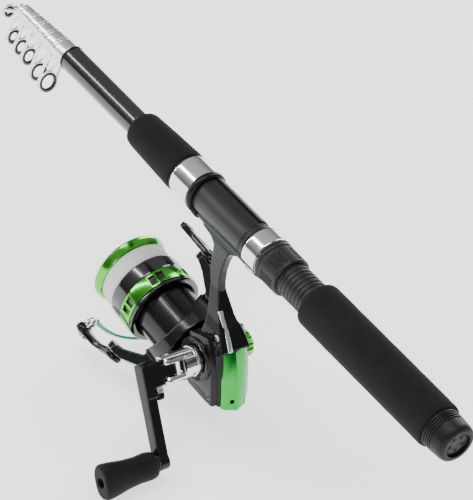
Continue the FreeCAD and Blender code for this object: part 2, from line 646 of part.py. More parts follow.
def make_drag_knob():
    body = spool_lathe([(2.03, 27.0), (12.8, 27.0), (12.8, 35.6), (12.2, 36.6), (11.0, 42.0),
                        (10.2, 42.6), (0, 42.6), (0, 32.0), (2.03, 32.0)])
    grooves = []
    for i in range(16):
        groove = cyl(V(12.6, 0, 36.2), Z_AXIS, 1.0, 8.0)
        groove.rotate(ORIGIN, Z_AXIS, 22.5 * i)
        grooves.append(groove)
    return spool_place(body.cut(Part.makeCompound(grooves)))


# --- crank --------------------------------------------------------------------------------
def crank_box(x_low, x_high, along_low, along_high, half_side):
    """A block given in X, along the crank and across it, from the drive axis."""
    points = [DRIVE + CRANK_DIR * a + CRANK_SIDE * s for a, s in
              ((along_low, -half_side), (along_high, -half_side), (along_high, half_side),
               (along_low, half_side))]
    points = [V(x_low, p.y, p.z) for p in points]
    return Part.Face(Part.makePolygon(points + points[:1])).extrude(V(x_high - x_low, 0, 0))


def make_crank_hub():
    at = lambda x: V(x, DRIVE_Y, DRIVE_Z)
    back = X_AXIS * -1
    pivot = V(PIN_X, DRIVE_Y, DRIVE_Z)
    hub = joined([cyl(at(-14.95), back, 8.9, 3.2), cyl(at(-18.0), back, 8.3, -18.0 - FORK_ROOT_X)])
    cheeks = cyl(at(FORK_ROOT_X), back, 8.3, 20.0).common(
        cyl(pivot - CRANK_DIR * 10, CRANK_DIR, FORK_R, 20).fuse(
            crank_box(PIN_X, FORK_ROOT_X, -10, 10, FORK_R)))
    slot = crank_box(-40.0, FORK_ROOT_X - 0.6, -3.7, 3.7, 12.0)
    pin_hole = cyl(pivot - CRANK_DIR * 10, CRANK_DIR, 1.52, 20)
    return hub.fuse(cheeks).removeSplitter().cut(slot).cut(pin_hole)


def make_crank_arm():
    pivot = V(PIN_X, DRIVE_Y, DRIVE_Z)
    tongue = cyl(pivot - CRANK_DIR * 3.4, CRANK_DIR, 4.6, 6.8)
    tongue = tongue.fuse(crank_box(-41.0, PIN_X, -3.4, 3.4, 4.6))
    block = crank_box(-47.0, PIN_X - FORK_R - 0.5, -7.0, 7.0, 4.9)
    elbow = crank_box(-52.8, -45.4, -7.0, 12.0, 4.5)
    arm = crank_box(-52.8, -46.2, 10.0, CRANK_LENGTH - 1.0, 4.2)
    tip_centre = V(-46.2, DRIVE_Y, DRIVE_Z) + CRANK_DIR * CRANK_LENGTH
    tip = cyl(tip_centre, X_AXIS * -1, 5.2, 6.6)
    spindle = cyl(tip_centre, X_AXIS * -1, 2.0, 40.0)
    arm_all = joined([tongue, block, elbow, arm, tip, spindle])
    pin_hole = cyl(pivot - CRANK_DIR * 10, CRANK_DIR, 1.55, 20)
    well = cyl(V(BUTTON_X, DRIVE_Y, DRIVE_Z) + CRANK_DIR * 2.6, CRANK_DIR, 1.7, 10.0)
    return arm_all.cut(pin_hole).cut(well)


def make_fold_pin():
    return cyl(V(PIN_X, DRIVE_Y, DRIVE_Z) - CRANK_DIR * 7.2, CRANK_DIR, 1.5, 14.4)


def make_fold_button():
    start = V(BUTTON_X, DRIVE_Y, DRIVE_Z) + CRANK_DIR * 5.4
    stem = cyl(start, CRANK_DIR, 1.6, 6.0)
    barrel = cyl(start + CRANK_DIR * 4.8, CRANK_DIR, 2.9, 5.2)
    return stem.fuse(barrel).removeSplitter()


KNOB_STATIONS = ((-53.4, 6.0, 5.0), (-55.0, 7.6, 6.0), (-59.0, 8.2, 6.4), (-66.0, 7.9, 6.0),
                 (-74.0, 8.5, 6.1), (-84.0, 10.2, 6.7), (-89.0, 10.6, 6.8), (-91.0, 9.8, 6.2))


def make_handle_knob():
    centre = DRIVE + CRANK_DIR * CRANK_LENGTH
    wires = []
    for x, half_long, half_short in KNOB_STATIONS:
        ellipse = Part.Ellipse(V(x, centre.y, centre.z), half_long, half_short - 0.01)
        ellipse = ellipse.toShape()
        turn = FreeCAD.Placement(V(0, 0, 0), FreeCAD.Rotation(X_AXIS, CRANK_SIDE, X_AXIS * -1, "ZXY"))
        ellipse.translate(V(-x, -centre.y, -centre.z))
        ellipse.Placement = turn.multiply(ellipse.Placement)
        ellipse.translate(V(x, centre.y, centre.z))
        wires.append(Part.Wire([ellipse]))
    knob = Part.makeLoft(wires, True)
    return knob.cut(cyl(V(-50, centre.y, centre.z), X_AXIS * -1, 2.06, 37.0)).cut(
        cyl(V(-87.5, centre.y, centre.z), X_AXIS * -1, 2.6, 10))


def make_screw_cap():
    at = lambda x: V(x, DRIVE_Y, DRIVE_Z)
    cap = cyl(at(14.2), X_AXIS, 8.4, 7.2)
    flutes = []
    for i in range(12):
        angle = math.radians(30 * i)
        flutes.append(cyl(V(15.4, DRIVE_Y + 8.9 * math.cos(angle), DRIVE_Z + 8.9 * math.sin(angle)),
                          X_AXIS, 1.3, 7.0))
    return cap.cut(Part.makeCompound(flutes))


def main():
    os.makedirs("parts", exist_ok=True)
    save(make_butt_cap(), "butt_cap")
    save(make_butt_plug(), "butt_plug")
    save(make_rear_grip(), "rear_grip")
    save(make_reel_seat(), "reel_seat")
    save(make_seat_nut(), "seat_nut")
    save(make_rear_hood(), "rear_hood")
    save(make_front_hood(), "front_hood")
    save(make_front_ring(), "front_ring")
    save(make_foregrip(), "foregrip")
    save(make_blank(), "butt_blank")
    for i, (rear, front) in enumerate(collar_spans()):
        name = "tip_top" if i == TIP_TOP else "guide_%d" % (i + 1)
        save(make_guide_frame(i, rear, front), name + "_frame")
        save(make_guide_ring(i), name + "_ring")
        if i < TIP_TOP:
            save(make_section(i, front), "section_%d" % (i + 2))
    save(make_reel_body(), "reel_body")
    save(make_side_cover(), "side_cover")
    save(make_rear_cover(), "rear_cover")
    save(make_stem_trim(), "stem_trim")
    save(make_housing_screws(), "housing_screws")
    save(make_drive_gear(), "drive_gear")
    save(make_shaft_bearings(), "shaft_bearings")
    save(make_pinion(), "pinion")
    save(make_pinion_bearing(), "pinion_bearing")
    save(make_clutch(), "anti_reverse_clutch")
    save(make_main_shaft(), "main_shaft")
    save(make_slider(), "oscillation_slider")
    save(make_oscillation_gear(), "oscillation_gear")
    save(make_rotor(), "rotor")
    save(make_rotor_nut(), "rotor_nut")
    save(make_bail_arm(), "bail_arm")
    save(make_bail_ear(), "bail_ear")
    save(make_bail_wire(), "bail_wire")
    save(make_line_roller(), "line_roller")
    save(make_bail_screws(), "bail_screws")
    save(make_spool(), "spool")
    save(make_spool_lip(), "spool_lip")
    save(make_spool_ring(), "spool_ring")
    save(make_line(), "wound_line")
    save(make_drag_washers(), "drag_washers")
    save(make_drag_knob(), "drag_knob")
    save(make_crank_hub(), "crank_hub")
    save(make_crank_arm(), "crank_arm")
    save(make_fold_pin(), "fold_pin")
    save(make_fold_button(), "fold_button")
    save(make_handle_knob(), "handle_knob")
    save(make_screw_cap(), "screw_cap")


main()
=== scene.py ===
"""Looks of the closed telescopic rod and its front-drag spinning reel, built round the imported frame.

Shapes are written in millimetres in the row frame, or in the frame of the axis that they turn about.
"""
import bpy
import bmesh
import math
import numpy as np
from mathutils import Matrix, Vector


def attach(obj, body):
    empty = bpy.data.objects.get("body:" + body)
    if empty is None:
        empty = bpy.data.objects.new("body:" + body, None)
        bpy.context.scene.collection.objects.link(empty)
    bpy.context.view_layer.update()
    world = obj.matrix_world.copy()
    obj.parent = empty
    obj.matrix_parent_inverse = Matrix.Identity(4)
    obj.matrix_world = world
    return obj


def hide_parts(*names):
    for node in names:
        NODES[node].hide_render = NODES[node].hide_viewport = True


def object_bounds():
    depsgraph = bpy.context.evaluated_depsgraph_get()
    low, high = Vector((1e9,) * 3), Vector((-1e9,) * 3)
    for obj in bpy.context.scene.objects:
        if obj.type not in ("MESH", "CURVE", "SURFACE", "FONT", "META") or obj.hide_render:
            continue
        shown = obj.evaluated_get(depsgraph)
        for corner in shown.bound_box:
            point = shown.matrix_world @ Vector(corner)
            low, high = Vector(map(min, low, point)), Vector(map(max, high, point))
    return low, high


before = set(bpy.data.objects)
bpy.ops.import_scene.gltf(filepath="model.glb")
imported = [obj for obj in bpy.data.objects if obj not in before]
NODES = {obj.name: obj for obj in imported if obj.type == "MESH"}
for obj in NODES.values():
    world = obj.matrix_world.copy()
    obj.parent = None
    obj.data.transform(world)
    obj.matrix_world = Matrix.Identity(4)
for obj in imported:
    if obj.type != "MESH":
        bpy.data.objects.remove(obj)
cad_low, cad_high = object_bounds()
MM = 0.001


def basis(origin, x, z):
    """The matrix of a local frame with these x and z directions."""
    x, z = Vector(x).normalized(), Vector(z).normalized()
    matrix = Matrix((x, z.cross(x), z)).transposed().to_4x4()
    matrix.translation = Vector(origin)
    return matrix


SPOOL_TILT = math.radians(4.7)
ROTOR_ROLL = math.radians(46.6)
SPOOL_DIR = Vector((0, math.cos(SPOOL_TILT), math.sin(SPOOL_TILT)))
SPOOL_UP = Vector((0, -math.sin(SPOOL_TILT), math.cos(SPOOL_TILT)))
PIVOT_DIR = Vector((1, 0, 0)) * math.cos(ROTOR_ROLL) + SPOOL_UP * math.sin(ROTOR_ROLL)
CRANK_DIR = Vector((0, -0.544, -0.839))
DRIVE_Y, DRIVE_Z = 125.5, -90.7
CRANK_LENGTH = 49.5
ROW = Matrix.Identity(4)
ROD = basis((0, 0, 0), (1, 0, 0), (0, 1, 0))            # z runs to the tip, y down
SPOOL = basis((0, 178.0, -96.8), PIVOT_DIR, SPOOL_DIR)  # x through the pivots, z forward
CRANK = basis((0, DRIVE_Y, DRIVE_Z), CRANK_DIR, (-1, 0, 0))  # x along the crank, z out of the case
FAR_SIDE = basis((0, DRIVE_Y, DRIVE_Z), (0, 0, 1), (1, 0, 0))


# --- materials ----------------------------------------------------------------------------
BLOTCH_MM, SMEAR_MM = 14.0, 5.0                         # sizes of the changes in colour and in roughness


def material(name, colour, rough, metal=0.0, coat=0.0, grain=1.5, bump=0.0, vary=0.15,
             rough_vary=0.06, cells=False, sheen=0.0, coat_rough=0.05, gloss=0.5):
    """A surface with its colour and roughness varied; grain is the relief's size in mm, bump its depth."""
    made = bpy.data.materials.new(name)
    made.use_nodes = True
    nodes, links = made.node_tree.nodes, made.node_tree.links
    shader = nodes["Principled BSDF"]
    shader.inputs["Metallic"].default_value = metal
    shader.inputs["Coat Weight"].default_value = coat
    shader.inputs["Coat Roughness"].default_value = coat_rough
    shader.inputs["Sheen Weight"].default_value = sheen
    shader.inputs["Specular IOR Level"].default_value = gloss
    place = nodes.new("ShaderNodeTexCoord").outputs["Object"]

    def noise(size_mm, detail):
        """The value of a noise of this size over the object."""
        node = nodes.new("ShaderNodeTexNoise")
        node.inputs["Scale"].default_value = 1000.0 / size_mm
        node.inputs["Detail"].default_value = detail
        links.new(place, node.inputs["Vector"])
        return node.outputs["Fac"]

    ramp = nodes.new("ShaderNodeValToRGB")
    links.new(noise(BLOTCH_MM, 4.0), ramp.inputs["Fac"])
    for stop, at, gain in zip(ramp.color_ramp.elements, (0.3, 0.7), (1 - vary, 1 + vary)):
        stop.position = at
        stop.color = [min(1.0, c * gain) for c in colour] + [1.0]
    links.new(ramp.outputs["Color"], shader.inputs["Base Color"])
    spread = nodes.new("ShaderNodeMapRange")
    spread.inputs["To Min"].default_value = max(0.02, rough - rough_vary)
    spread.inputs["To Max"].default_value = min(1.0, rough + rough_vary)
    links.new(noise(SMEAR_MM, 5.0), spread.inputs["Value"])
    links.new(spread.outputs["Result"], shader.inputs["Roughness"])
    if bump:
        relief = nodes.new("ShaderNodeBump")
        relief.inputs["Strength"].default_value = 1.0
        relief.inputs["Distance"].default_value = bump * MM
        if cells:
            pores = nodes.new("ShaderNodeTexVoronoi")
            pores.inputs["Scale"].default_value = 1000.0 / grain
            links.new(place, pores.inputs["Vector"])
            links.new(pores.outputs["Distance"], relief.inputs["Height"])
        else:
            links.new(noise(grain, 3.0), relief.inputs["Height"])
        links.new(relief.outputs["Normal"], shader.inputs["Normal"])
    return made


FOAM = material("foam", (0.010, 0.0105, 0.0100), 0.9, grain=0.55, bump=0.05, vary=0.16, cells=True,
                sheen=0.03, gloss=0.16)
RUBBER = material("rubber", (0.007, 0.0075, 0.0075), 0.44, grain=0.5, bump=0.015, gloss=0.2)
KNOB_RUBBER = material("knob_rubber", (0.009, 0.0095, 0.009), 0.6, grain=0.35, bump=0.01, sheen=0.01,
                       gloss=0.18)
SEAT = material("seat_plastic", (0.012, 0.0135, 0.015), 0.38, grain=0.4, bump=0.006, gloss=0.3)
SEAT_DARK = material("seat_dark", (0.005, 0.0055, 0.006), 0.3, grain=0.4, bump=0.006, gloss=0.2)
BLANK = material("blank_lacquer", (0.006, 0.0065, 0.0075), 0.2, coat=0.8, rough_vary=0.02)
CHROME = material("chrome", (0.86, 0.86, 0.85), 0.13, metal=1.0, grain=0.6, bump=0.002, vary=0.03,
                  rough_vary=0.04)
SATIN = material("satin_chrome", (0.84, 0.84, 0.84), 0.24, metal=1.0, grain=0.5, bump=0.003, vary=0.04)
SILVER = material("silver_lacquer", (0.80, 0.81, 0.83), 0.24, metal=0.85, coat=0.6, grain=0.5, bump=0.002,
                  vary=0.05)
GREEN = material("green_anodised", (0.10, 0.50, 0.06), 0.2, metal=1.0, grain=0.4, bump=0.002, vary=0.08)
GREEN_DEEP = material("green_plated", (0.03, 0.33, 0.05), 0.2, metal=1.0, grain=0.6, bump=0.003, vary=0.1)
BODY = material("body_paint", (0.004, 0.0044, 0.005), 0.2, coat=0.1, grain=0.3, bump=0.002, coat_rough=0.1,
                gloss=0.22)
# A lighter, matter copy of the body paint. Its lighter colour is painted light: the light falling on the stem's
# upper part, and a painted highlight on the cover's relief lines.
BODY_PAINTED_LIGHT = material("body_matte_painted_light", (0.014, 0.015, 0.016), 0.32, grain=0.3, bump=0.003, gloss=0.25)
ROTOR = material("rotor_paint", (0.005, 0.0055, 0.006), 0.2, coat=0.15, grain=0.3, bump=0.002,
                 coat_rough=0.1, gloss=0.25)
EDGE = material("rotor_edge", (0.07, 0.07, 0.075), 0.34, metal=0.4, grain=0.3, bump=0.003)
BAND = material("spool_black", (0.005, 0.005, 0.006), 0.16, coat=0.8, grain=0.6, bump=0.001)
LINE = material("nylon_line", (0.80, 0.83, 0.80), 0.45, grain=0.5, bump=0.01, vary=0.04)
STEEL = material("steel", (0.62, 0.62, 0.61), 0.28, metal=1.0, grain=0.4, bump=0.003)
DARK_STEEL = material("dark_steel", (0.10, 0.10, 0.10), 0.35, metal=0.9, grain=0.4, bump=0.003)
BRASS = material("brass", (0.66, 0.48, 0.20), 0.3, metal=1.0, grain=0.5, bump=0.004)
NYLON = material("white_nylon", (0.62, 0.62, 0.58), 0.5, grain=0.5, bump=0.006)
WIRE = material("teal_wire", (0.03, 0.34, 0.21), 0.22, metal=0.7, coat=0.5, grain=0.5, bump=0.002)
CERAMIC = material("ring_ceramic", (0.009, 0.0095, 0.010), 0.2, grain=0.4, bump=0.002)
FELT = material("felt", (0.22, 0.18, 0.13), 0.9, grain=0.35, bump=0.03)
CRANK_PAINT = material("crank_paint", (0.005, 0.0055, 0.006), 0.22, coat=0.1, grain=0.3, bump=0.003,
                       coat_rough=0.12, gloss=0.22)


# --- meshes -------------------------------------------------------------------------------
SAME_POINT_MM = 1e-6
MERGE_M = 2e-6
FLAT_DEG = 0.6                                          # faces that differ by less are one flat face
SHARPEST, BLUNTEST = 0.05, 3.1                          # corners outside these angles stay as they are
SIDE_SHARE = 0.46                                       # of a side, the most that one corner takes


def fillet(points, radius, steps=4):
    """A closed outline with its corners rounded; radius is one value, or one for each point."""
    count = len(points)
    radii = [radius] * count if isinstance(radius, (int, float)) else list(radius)
    made = []
    for i, (point, r) in enumerate(zip(points, radii)):
        p = Vector(point).to_2d()
        to_last, to_next = Vector(points[i - 1]) - p, Vector(points[(i + 1) % count]) - p
        if r <= 0 or min(to_last.length, to_next.length) < SAME_POINT_MM:
            made.append(tuple(p))
            continue
        angle = to_last.angle(to_next)
        if not SHARPEST <= angle <= BLUNTEST:
            made.append(tuple(p))
            continue
        cut = min(r / math.tan(angle / 2), SIDE_SHARE * to_last.length, SIDE_SHARE * to_next.length)
        start, end = p + to_last.normalized() * cut, p + to_next.normalized() * cut
        for k in range(steps + 1):
            t = k / steps
            made.append(tuple(start * (1 - t) ** 2 + p * 2 * t * (1 - t) + end * t * t))
    return made


def lathe(outline, segments=96, change=None):
    """Turn a closed outline of (radius, z) about z. change(radius, angle, z) gives a new radius."""
    count = len(outline)
    verts = []
    for s in range(segments):
        angle = 2 * math.pi * s / segments
        for r, z in outline:
            r = change(r, angle, z) if change else r
            verts.append((r * math.cos(angle), r * math.sin(angle), z))
    faces = []
    for s in range(segments):
        a, b = s * count, (s + 1) % segments * count
        for i in range(count):
            j = (i + 1) % count
            faces.append((a + i, b + i, b + j, a + j))
    return verts, faces


def loft(rings, closed=False):
    """Join rings of equally many points; an open loft gets a cap at each end."""
    n = len(rings[0])
    verts = [tuple(p) for ring in rings for p in ring]
    faces = []
    spans = len(rings) if closed else len(rings) - 1
    for k in range(spans):
        a, b = k * n, (k + 1) % len(rings) * n
        for i in range(n):
            j = (i + 1) % n
            faces.append((a + i, a + j, b + j, b + i))
    if not closed:
        faces.append(tuple(range(n - 1, -1, -1)))
        faces.append(tuple(range((len(rings) - 1) * n, len(rings) * n)))
    return verts, faces


def prism(outline, low, high):
    """A closed outline of (x, y) made solid from z low to z high."""
    return loft([[(x, y, z) for x, y in outline] for z in (low, high)])


def tube(path, radii, segments=20, flat=1.0, side=None):
    """A round bar along a path; flat squeezes it across the side direction."""
    path = [Vector(p) for p in path]
    rings = []
    across = Vector(side) if side else (path[1] - path[0]).orthogonal()
    for i, p in enumerate(path):
        ahead = (path[min(i + 1, len(path) - 1)] - path[max(i - 1, 0)]).normalized()
        across = (across - ahead * across.dot(ahead)).normalized()
        up = ahead.cross(across)
        r = radii[i] if isinstance(radii, (list, tuple)) else radii
        rings.append([p + across * r * math.cos(t) * flat + up * r * math.sin(t)
                      for t in (2 * math.pi * k / segments for k in range(segments))])
    return loft(rings)


def curve(points, steps=6):
    """A smooth path through the points."""
    points = [Vector(p) for p in points]
    ends = [points[0] * 2 - points[1]] + points + [points[-1] * 2 - points[-2]]
    made = []
    for i in range(1, len(ends) - 2):
        a, b, c, d = ends[i - 1:i + 3]
        for k in range(steps):
            t = k / steps
            made.append(0.5 * (2 * b + (c - a) * t + (2 * a - 5 * b + 4 * c - d) * t * t
                               + (3 * b - a - 3 * c + d) * t ** 3))
    return made + [points[-1]]


def moved(shape, matrix):
    """The shape with the matrix applied to its points."""
    verts, faces = shape
    return [tuple(matrix @ Vector(v)) for v in verts], faces


def together(*shapes):
    """Several shapes as one."""
    verts, faces = [], []
    for more_verts, more_faces in shapes:
        start = len(verts)
        verts += more_verts
        faces += [tuple(start + i for i in face) for face in more_faces]
    return verts, faces


def mesh_object(name, shape, place=ROW):
    """A new object in the shape, which is in mm in the frame that place gives."""
    verts, faces = shape
    mesh = bpy.data.meshes.new(name)
    mesh.from_pydata([tuple((place @ Vector(v)) * MM) for v in verts], [], faces)
    work = bmesh.new()
    work.from_mesh(mesh)
    bmesh.ops.remove_doubles(work, verts=work.verts, dist=MERGE_M)
    bmesh.ops.recalc_face_normals(work, faces=work.faces)
    work.to_mesh(mesh)
    work.free()
    made = bpy.data.objects.new(name, mesh)
    bpy.context.scene.collection.objects.link(made)
    return made


def apply_modifiers(thing):
    """Make the modifiers' result the piece's own mesh."""
    graph = bpy.context.evaluated_depsgraph_get()
    mesh = bpy.data.meshes.new_from_object(thing.evaluated_get(graph))
    thing.modifiers.clear()
    old = thing.data
    thing.data = mesh
    bpy.data.meshes.remove(old)
    mesh.name = thing.name
    return thing


def bevel(thing, width, segments=3, angle=32):
    """Round the edges that are sharper than the angle, by a width in mm."""
    rounding = thing.modifiers.new("bevel", "BEVEL")
    rounding.width = width * MM
    rounding.segments = segments
    rounding.limit_method = "ANGLE"
    rounding.angle_limit = math.radians(angle)
    rounding.use_clamp_overlap = True
    return apply_modifiers(thing)


def cut_by(thing, *cutters):
    """Take the cutters' shapes out of the piece; the cutters are used up."""
    for cutter in cutters:
        cut = thing.modifiers.new("cut", "BOOLEAN")
        cut.operation = "DIFFERENCE"
        cut.solver = "EXACT"
        cut.object = cutter
        apply_modifiers(thing)
        bpy.data.objects.remove(cutter)
    return thing


def smooth(thing, rounds):
    """Even out the piece's surface."""
    flow = thing.modifiers.new("smooth", "SMOOTH")
    flow.factor = 0.5
    flow.iterations = rounds
    return apply_modifiers(thing)


def soften(thing, voxel, rounds):
    """Remesh the piece in voxels of a size in mm, and let its hard edges flow together."""
    remesh = thing.modifiers.new("remesh", "REMESH")
    remesh.mode = "VOXEL"
    remesh.voxel_size = voxel * MM
    return smooth(apply_modifiers(thing), rounds)


def cad_copy(name, node, clean=True):
    """A separate mesh in the shape of a CAD node, with its flat faces whole again."""
    mesh = NODES[node].data.copy()
    mesh.materials.clear()
    work = bmesh.new()
    work.from_mesh(mesh)
    bmesh.ops.remove_doubles(work, verts=work.verts, dist=MERGE_M)
    if clean:
        bmesh.ops.dissolve_limit(work, angle_limit=math.radians(FLAT_DEG), verts=work.verts, edges=work.edges)
    work.to_mesh(mesh)
    work.free()
    for layer in list(mesh.attributes):
        if layer.name in ("custom_normal", "sharp_face", "sharp_edge"):
            mesh.attributes.remove(layer)
    made = bpy.data.objects.new(name, mesh)
    bpy.context.scene.collection.objects.link(made)
    return made


def shade(thing, angle):
    """Smooth shading with the edges above the angle kept sharp."""
    mesh = thing.data
    mesh.shade_smooth()
    mesh.set_sharp_from_angle(angle=math.radians(angle))
    return thing


def piece(thing, surface, body, *nodes, angle=35):
    """Give a made mesh its surface, smooth shading, body and the CAD nodes that it stands for."""
    thing.data.materials.clear()
    thing.data.materials.append(surface)
    shade(thing, angle)
    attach(thing, body)
    if nodes:
        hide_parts(*nodes)
    return thing


def turned(name, outline, place, surface, body, *nodes, segments=96, change=None, angle=35):
    """A finished piece that is turned about the z of its place."""
    made = mesh_object(name, lathe(outline, segments, change), place)
    return piece(made, surface, body, *nodes, angle=angle)


def second_surface(thing, surface, chosen):
    """Give the faces that chosen(centre, normal) picks another surface; both are in mm."""
    thing.data.materials.append(surface)
    for face in thing.data.polygons:
        if chosen(face.center / MM, face.normal):
            face.material_index = len(thing.data.materials) - 1


# --- rod handle ---------------------------------------------------------------------------
PLUG_PIPS, PIP_CIRCLE_R = 5, 4.3
GRIP_RINGS, GRIP_STEP = 41, 2.62
SKIN_R = 9.0                                            # the foam's waves are outside this radius


def make_handle():
    grooves = [(12.2, -62.2)]
    for y in (-61.6, -60.0, -58.4, -56.8):
        grooves += [(12.25, y - 0.35), (11.7, y - 0.3), (11.7, y + 0.3), (12.3, y + 0.35)]
    cap = [(7.7, -71.0), (9.4, -71.0), (11.2, -70.2), (11.8, -68.0)] + grooves
    cap += [(12.4, -55.1), (7.7, -55.1)]
    radii = [0.5, 0.7, 1.4, 1.5] + [0.2] * (len(grooves) + 2)
    turned("cap_rubber", fillet(cap, radii), ROD, RUBBER, "rod", "butt_cap")

    disc = lathe(fillet([(0, -69.5), (6.3, -69.5), (6.5, -69.1), (6.9, -69.1), (7.3, -69.5), (7.5, -69.3),
                         (7.5, -66.6), (0, -66.6)], 0.15))
    pips = []
    pip = lathe(fillet([(0.55, -69.3), (0.55, -69.8), (1.15, -69.8), (1.15, -69.3)], 0.15), 24)
    for i in range(PLUG_PIPS):
        turn = math.radians(360 // PLUG_PIPS * i + 90)
        at = (PIP_CIRCLE_R * math.cos(turn), PIP_CIRCLE_R * math.sin(turn), 0)
        pips.append(moved(pip, Matrix.Translation(at)))
    piece(mesh_object("plug_disc", together(disc, *pips), ROD), SEAT_DARK, "rod", "butt_plug")

    def handled(r, angle, z):
        """Foam is never quite even: long shallow waves in its skin."""
        if r < SKIN_R:
            return r
        return r + 0.06 * math.sin(3 * angle + 0.11 * z) * math.sin(0.35 * z) + 0.04 * math.sin(7 * angle)

    stations = [(14.0, -52.4 + GRIP_STEP * k) for k in range(GRIP_RINGS)]
    grip = [(7.8, -54.9), (12.4, -54.9), (13.6, -54.2)] + stations + [(13.6, 54.2), (12.6, 54.9), (7.8, 54.9)]
    grip = fillet(grip, [0, 0.6, 0.8] + [0] * GRIP_RINGS + [0.8, 0.5, 0])
    turned("grip_foam", grip, ROD, FOAM, "rod", "rear_grip", change=handled)

    fore = [(7.8, 178.1), (11.9, 178.1), (12.8, 178.9), (13.0, 181.5), (12.75, 187), (12.5, 193), (12.25, 200),
            (11.9, 207), (11.6, 213), (11.3, 219.0), (10.7, 221.6), (9.6, 222.9), (7.8, 222.9)]
    turned("foregrip_foam", fillet(fore, [0, 0.4, 0.6, 2] + [3] * 5 + [2, 1.2, 0.8, 0]), ROD, FOAM,
                     "rod", "foregrip", change=handled)


THREAD_ROOT_R, THREAD_TOP_R = 9.9, 10.55
THREAD_START, THREAD_PITCH, THREAD_TURNS = 56.0, 3.0, 13
RAIL_INNER_R, RAIL_OUTER_R = 10.6, 12.0
KNURL_LOW, KNURL_HIGH, KNURL_R = 79.4, 91.6, 11.9
KNURL_REPEAT, KNURL_WIDE, KNURL_PITCH = 72.0, 44.0, 5.5  # degrees: knurled pads with plain gaps


def make_seat():
    outline, radii = [(7.7, 55.0), (THREAD_ROOT_R, 55.0)], [0, 0.2]
    for k in range(THREAD_TURNS):
        y = THREAD_START + THREAD_PITCH * k
        outline += [(THREAD_ROOT_R, y), (THREAD_TOP_R, y + 0.5), (THREAD_TOP_R, y + 1.7), (THREAD_ROOT_R, y + 2.2)]
        radii += [0.3, 0.45, 0.45, 0.3]
    rest = [(10.6, 96.3), (10.6, 108.5), (10.75, 108.9), (10.75, 110.0), (11.15, 110.3), (11.15, 111.3),
            (10.75, 111.6), (10.75, 113.2), (11.15, 113.5), (11.15, 114.5), (10.75, 114.8), (10.75, 157.4),
            (9.7, 157.4), (9.7, 165.9), (7.7, 165.9)]
    outline += rest
    radii += [0.2] * len(rest)
    turned("seat_tube", fillet(outline, radii, steps=3), ROD, SEAT, "rod", "reel_seat")
    arc = [math.radians(a) for a in range(18, 76, 3)]
    rail = [(RAIL_OUTER_R * math.sin(a), -(RAIL_OUTER_R * math.cos(a))) for a in arc]
    rail += [(RAIL_INNER_R * math.sin(a), -(RAIL_INNER_R * math.cos(a))) for a in reversed(arc)]
    bar = loft([[(x, y, z) for x, y in rail] for z in (115.6, 116.8, 156, 157.3)])
    piece(bevel(mesh_object("seat_rail", bar, ROD), 0.45), SEAT_DARK, "rod")

    def knurl(r, angle, z):
        """Fine grooves along the nut, in pads that fade out at both ends."""
        local = math.degrees(angle) % KNURL_REPEAT
        if r < KNURL_R or not KNURL_LOW < z < KNURL_HIGH or local > KNURL_WIDE:
            return r
        fade = min(1.0, (z - KNURL_LOW) / 1.2, (KNURL_HIGH - z) / 1.2)
        groove = 0.5 - 0.5 * math.cos(2 * math.pi * local / KNURL_PITCH)
        return r - 0.6 * fade * max(0.0, groove) ** 2

    ends = [(10.9, 78.0), (11.7, 78.0), (12.2, 78.7)] + [(12.3, 79.0 + 0.6 * k) for k in range(22)]
    ends += [(12.25, 92.4), (12.1, 92.7), (12.6, 93.3), (12.7, 94.2), (12.6, 95.4), (12.2, 96.0), (10.9, 96.0)]
    turned("nut_knurl", ends, ROD, SEAT, "nut", "seat_nut", segments=360, change=knurl, angle=50)


HOOD_R = 12.7


def hood_outline(radius, half_width, depth, count=96):
    """A round sleeve drawn down into the swelling that takes one end of the reel's foot."""
    meet = math.asin(min(1.0, math.sqrt(radius ** 2 - half_width ** 2) / radius))
    side = [(-radius * math.cos(a), radius * math.sin(a)) for a in np.linspace(0, meet, 12)]
    corner = fillet([side[-1], (-half_width + 0.1, depth - 3.6), (-half_width + 3.4, depth),
                     (half_width - 3.4, depth), (half_width - 0.1, depth - 3.6), (half_width, side[-1][1])],
                    [0, 2.2, 3.0, 3.0, 2.2, 0], steps=6)
    swell = side[:-1] + corner + [(-x, y) for x, y in reversed(side[:-1])]
    top = [(radius * math.cos(a), -radius * math.sin(a))
           for a in (math.pi * k / 40 for k in range(1, 40))]
    loop = [Vector(p) for p in swell + top]
    lengths = [0.0]
    for a, b in zip(loop, loop[1:] + loop[:1]):
        lengths.append(lengths[-1] + (b - a).length)
    made = []
    k = 0
    for i in range(count):
        at = lengths[-1] * i / count
        while lengths[k + 1] < at:
            k += 1
        t = (at - lengths[k]) / (lengths[k + 1] - lengths[k])
        made.append(loop[k].lerp(loop[(k + 1) % len(loop)], t))
    return made


def hood(name, outer, inner_r, stations, surface, body, node, swell=None):
    """A sleeve that shrinks by the inset of each (y, inset) station; swell(y) scales its bulge there."""
    round_r = outer[0].length
    rings = []
    for y, inset in stations:
        scale = swell(y) if swell else 1.0
        reach = [round_r + (p.length - round_r) * scale - inset for p in outer]
        rings.append([(p.normalized().x * r, p.normalized().y * r, y) for p, r in zip(outer, reach)])
    for y in (stations[-1][0], stations[0][0]):
        ring = []
        for p in outer:
            reach = min(inner_r, p.length - 1.0)
            out = p.normalized() * (reach if p.y < 9.5 else p.length - 2.0)
            ring.append((out.x, out.y, y))
        rings.append(ring)
    return piece(mesh_object(name, loft(rings, closed=True), ROD), surface, body, node, angle=38)


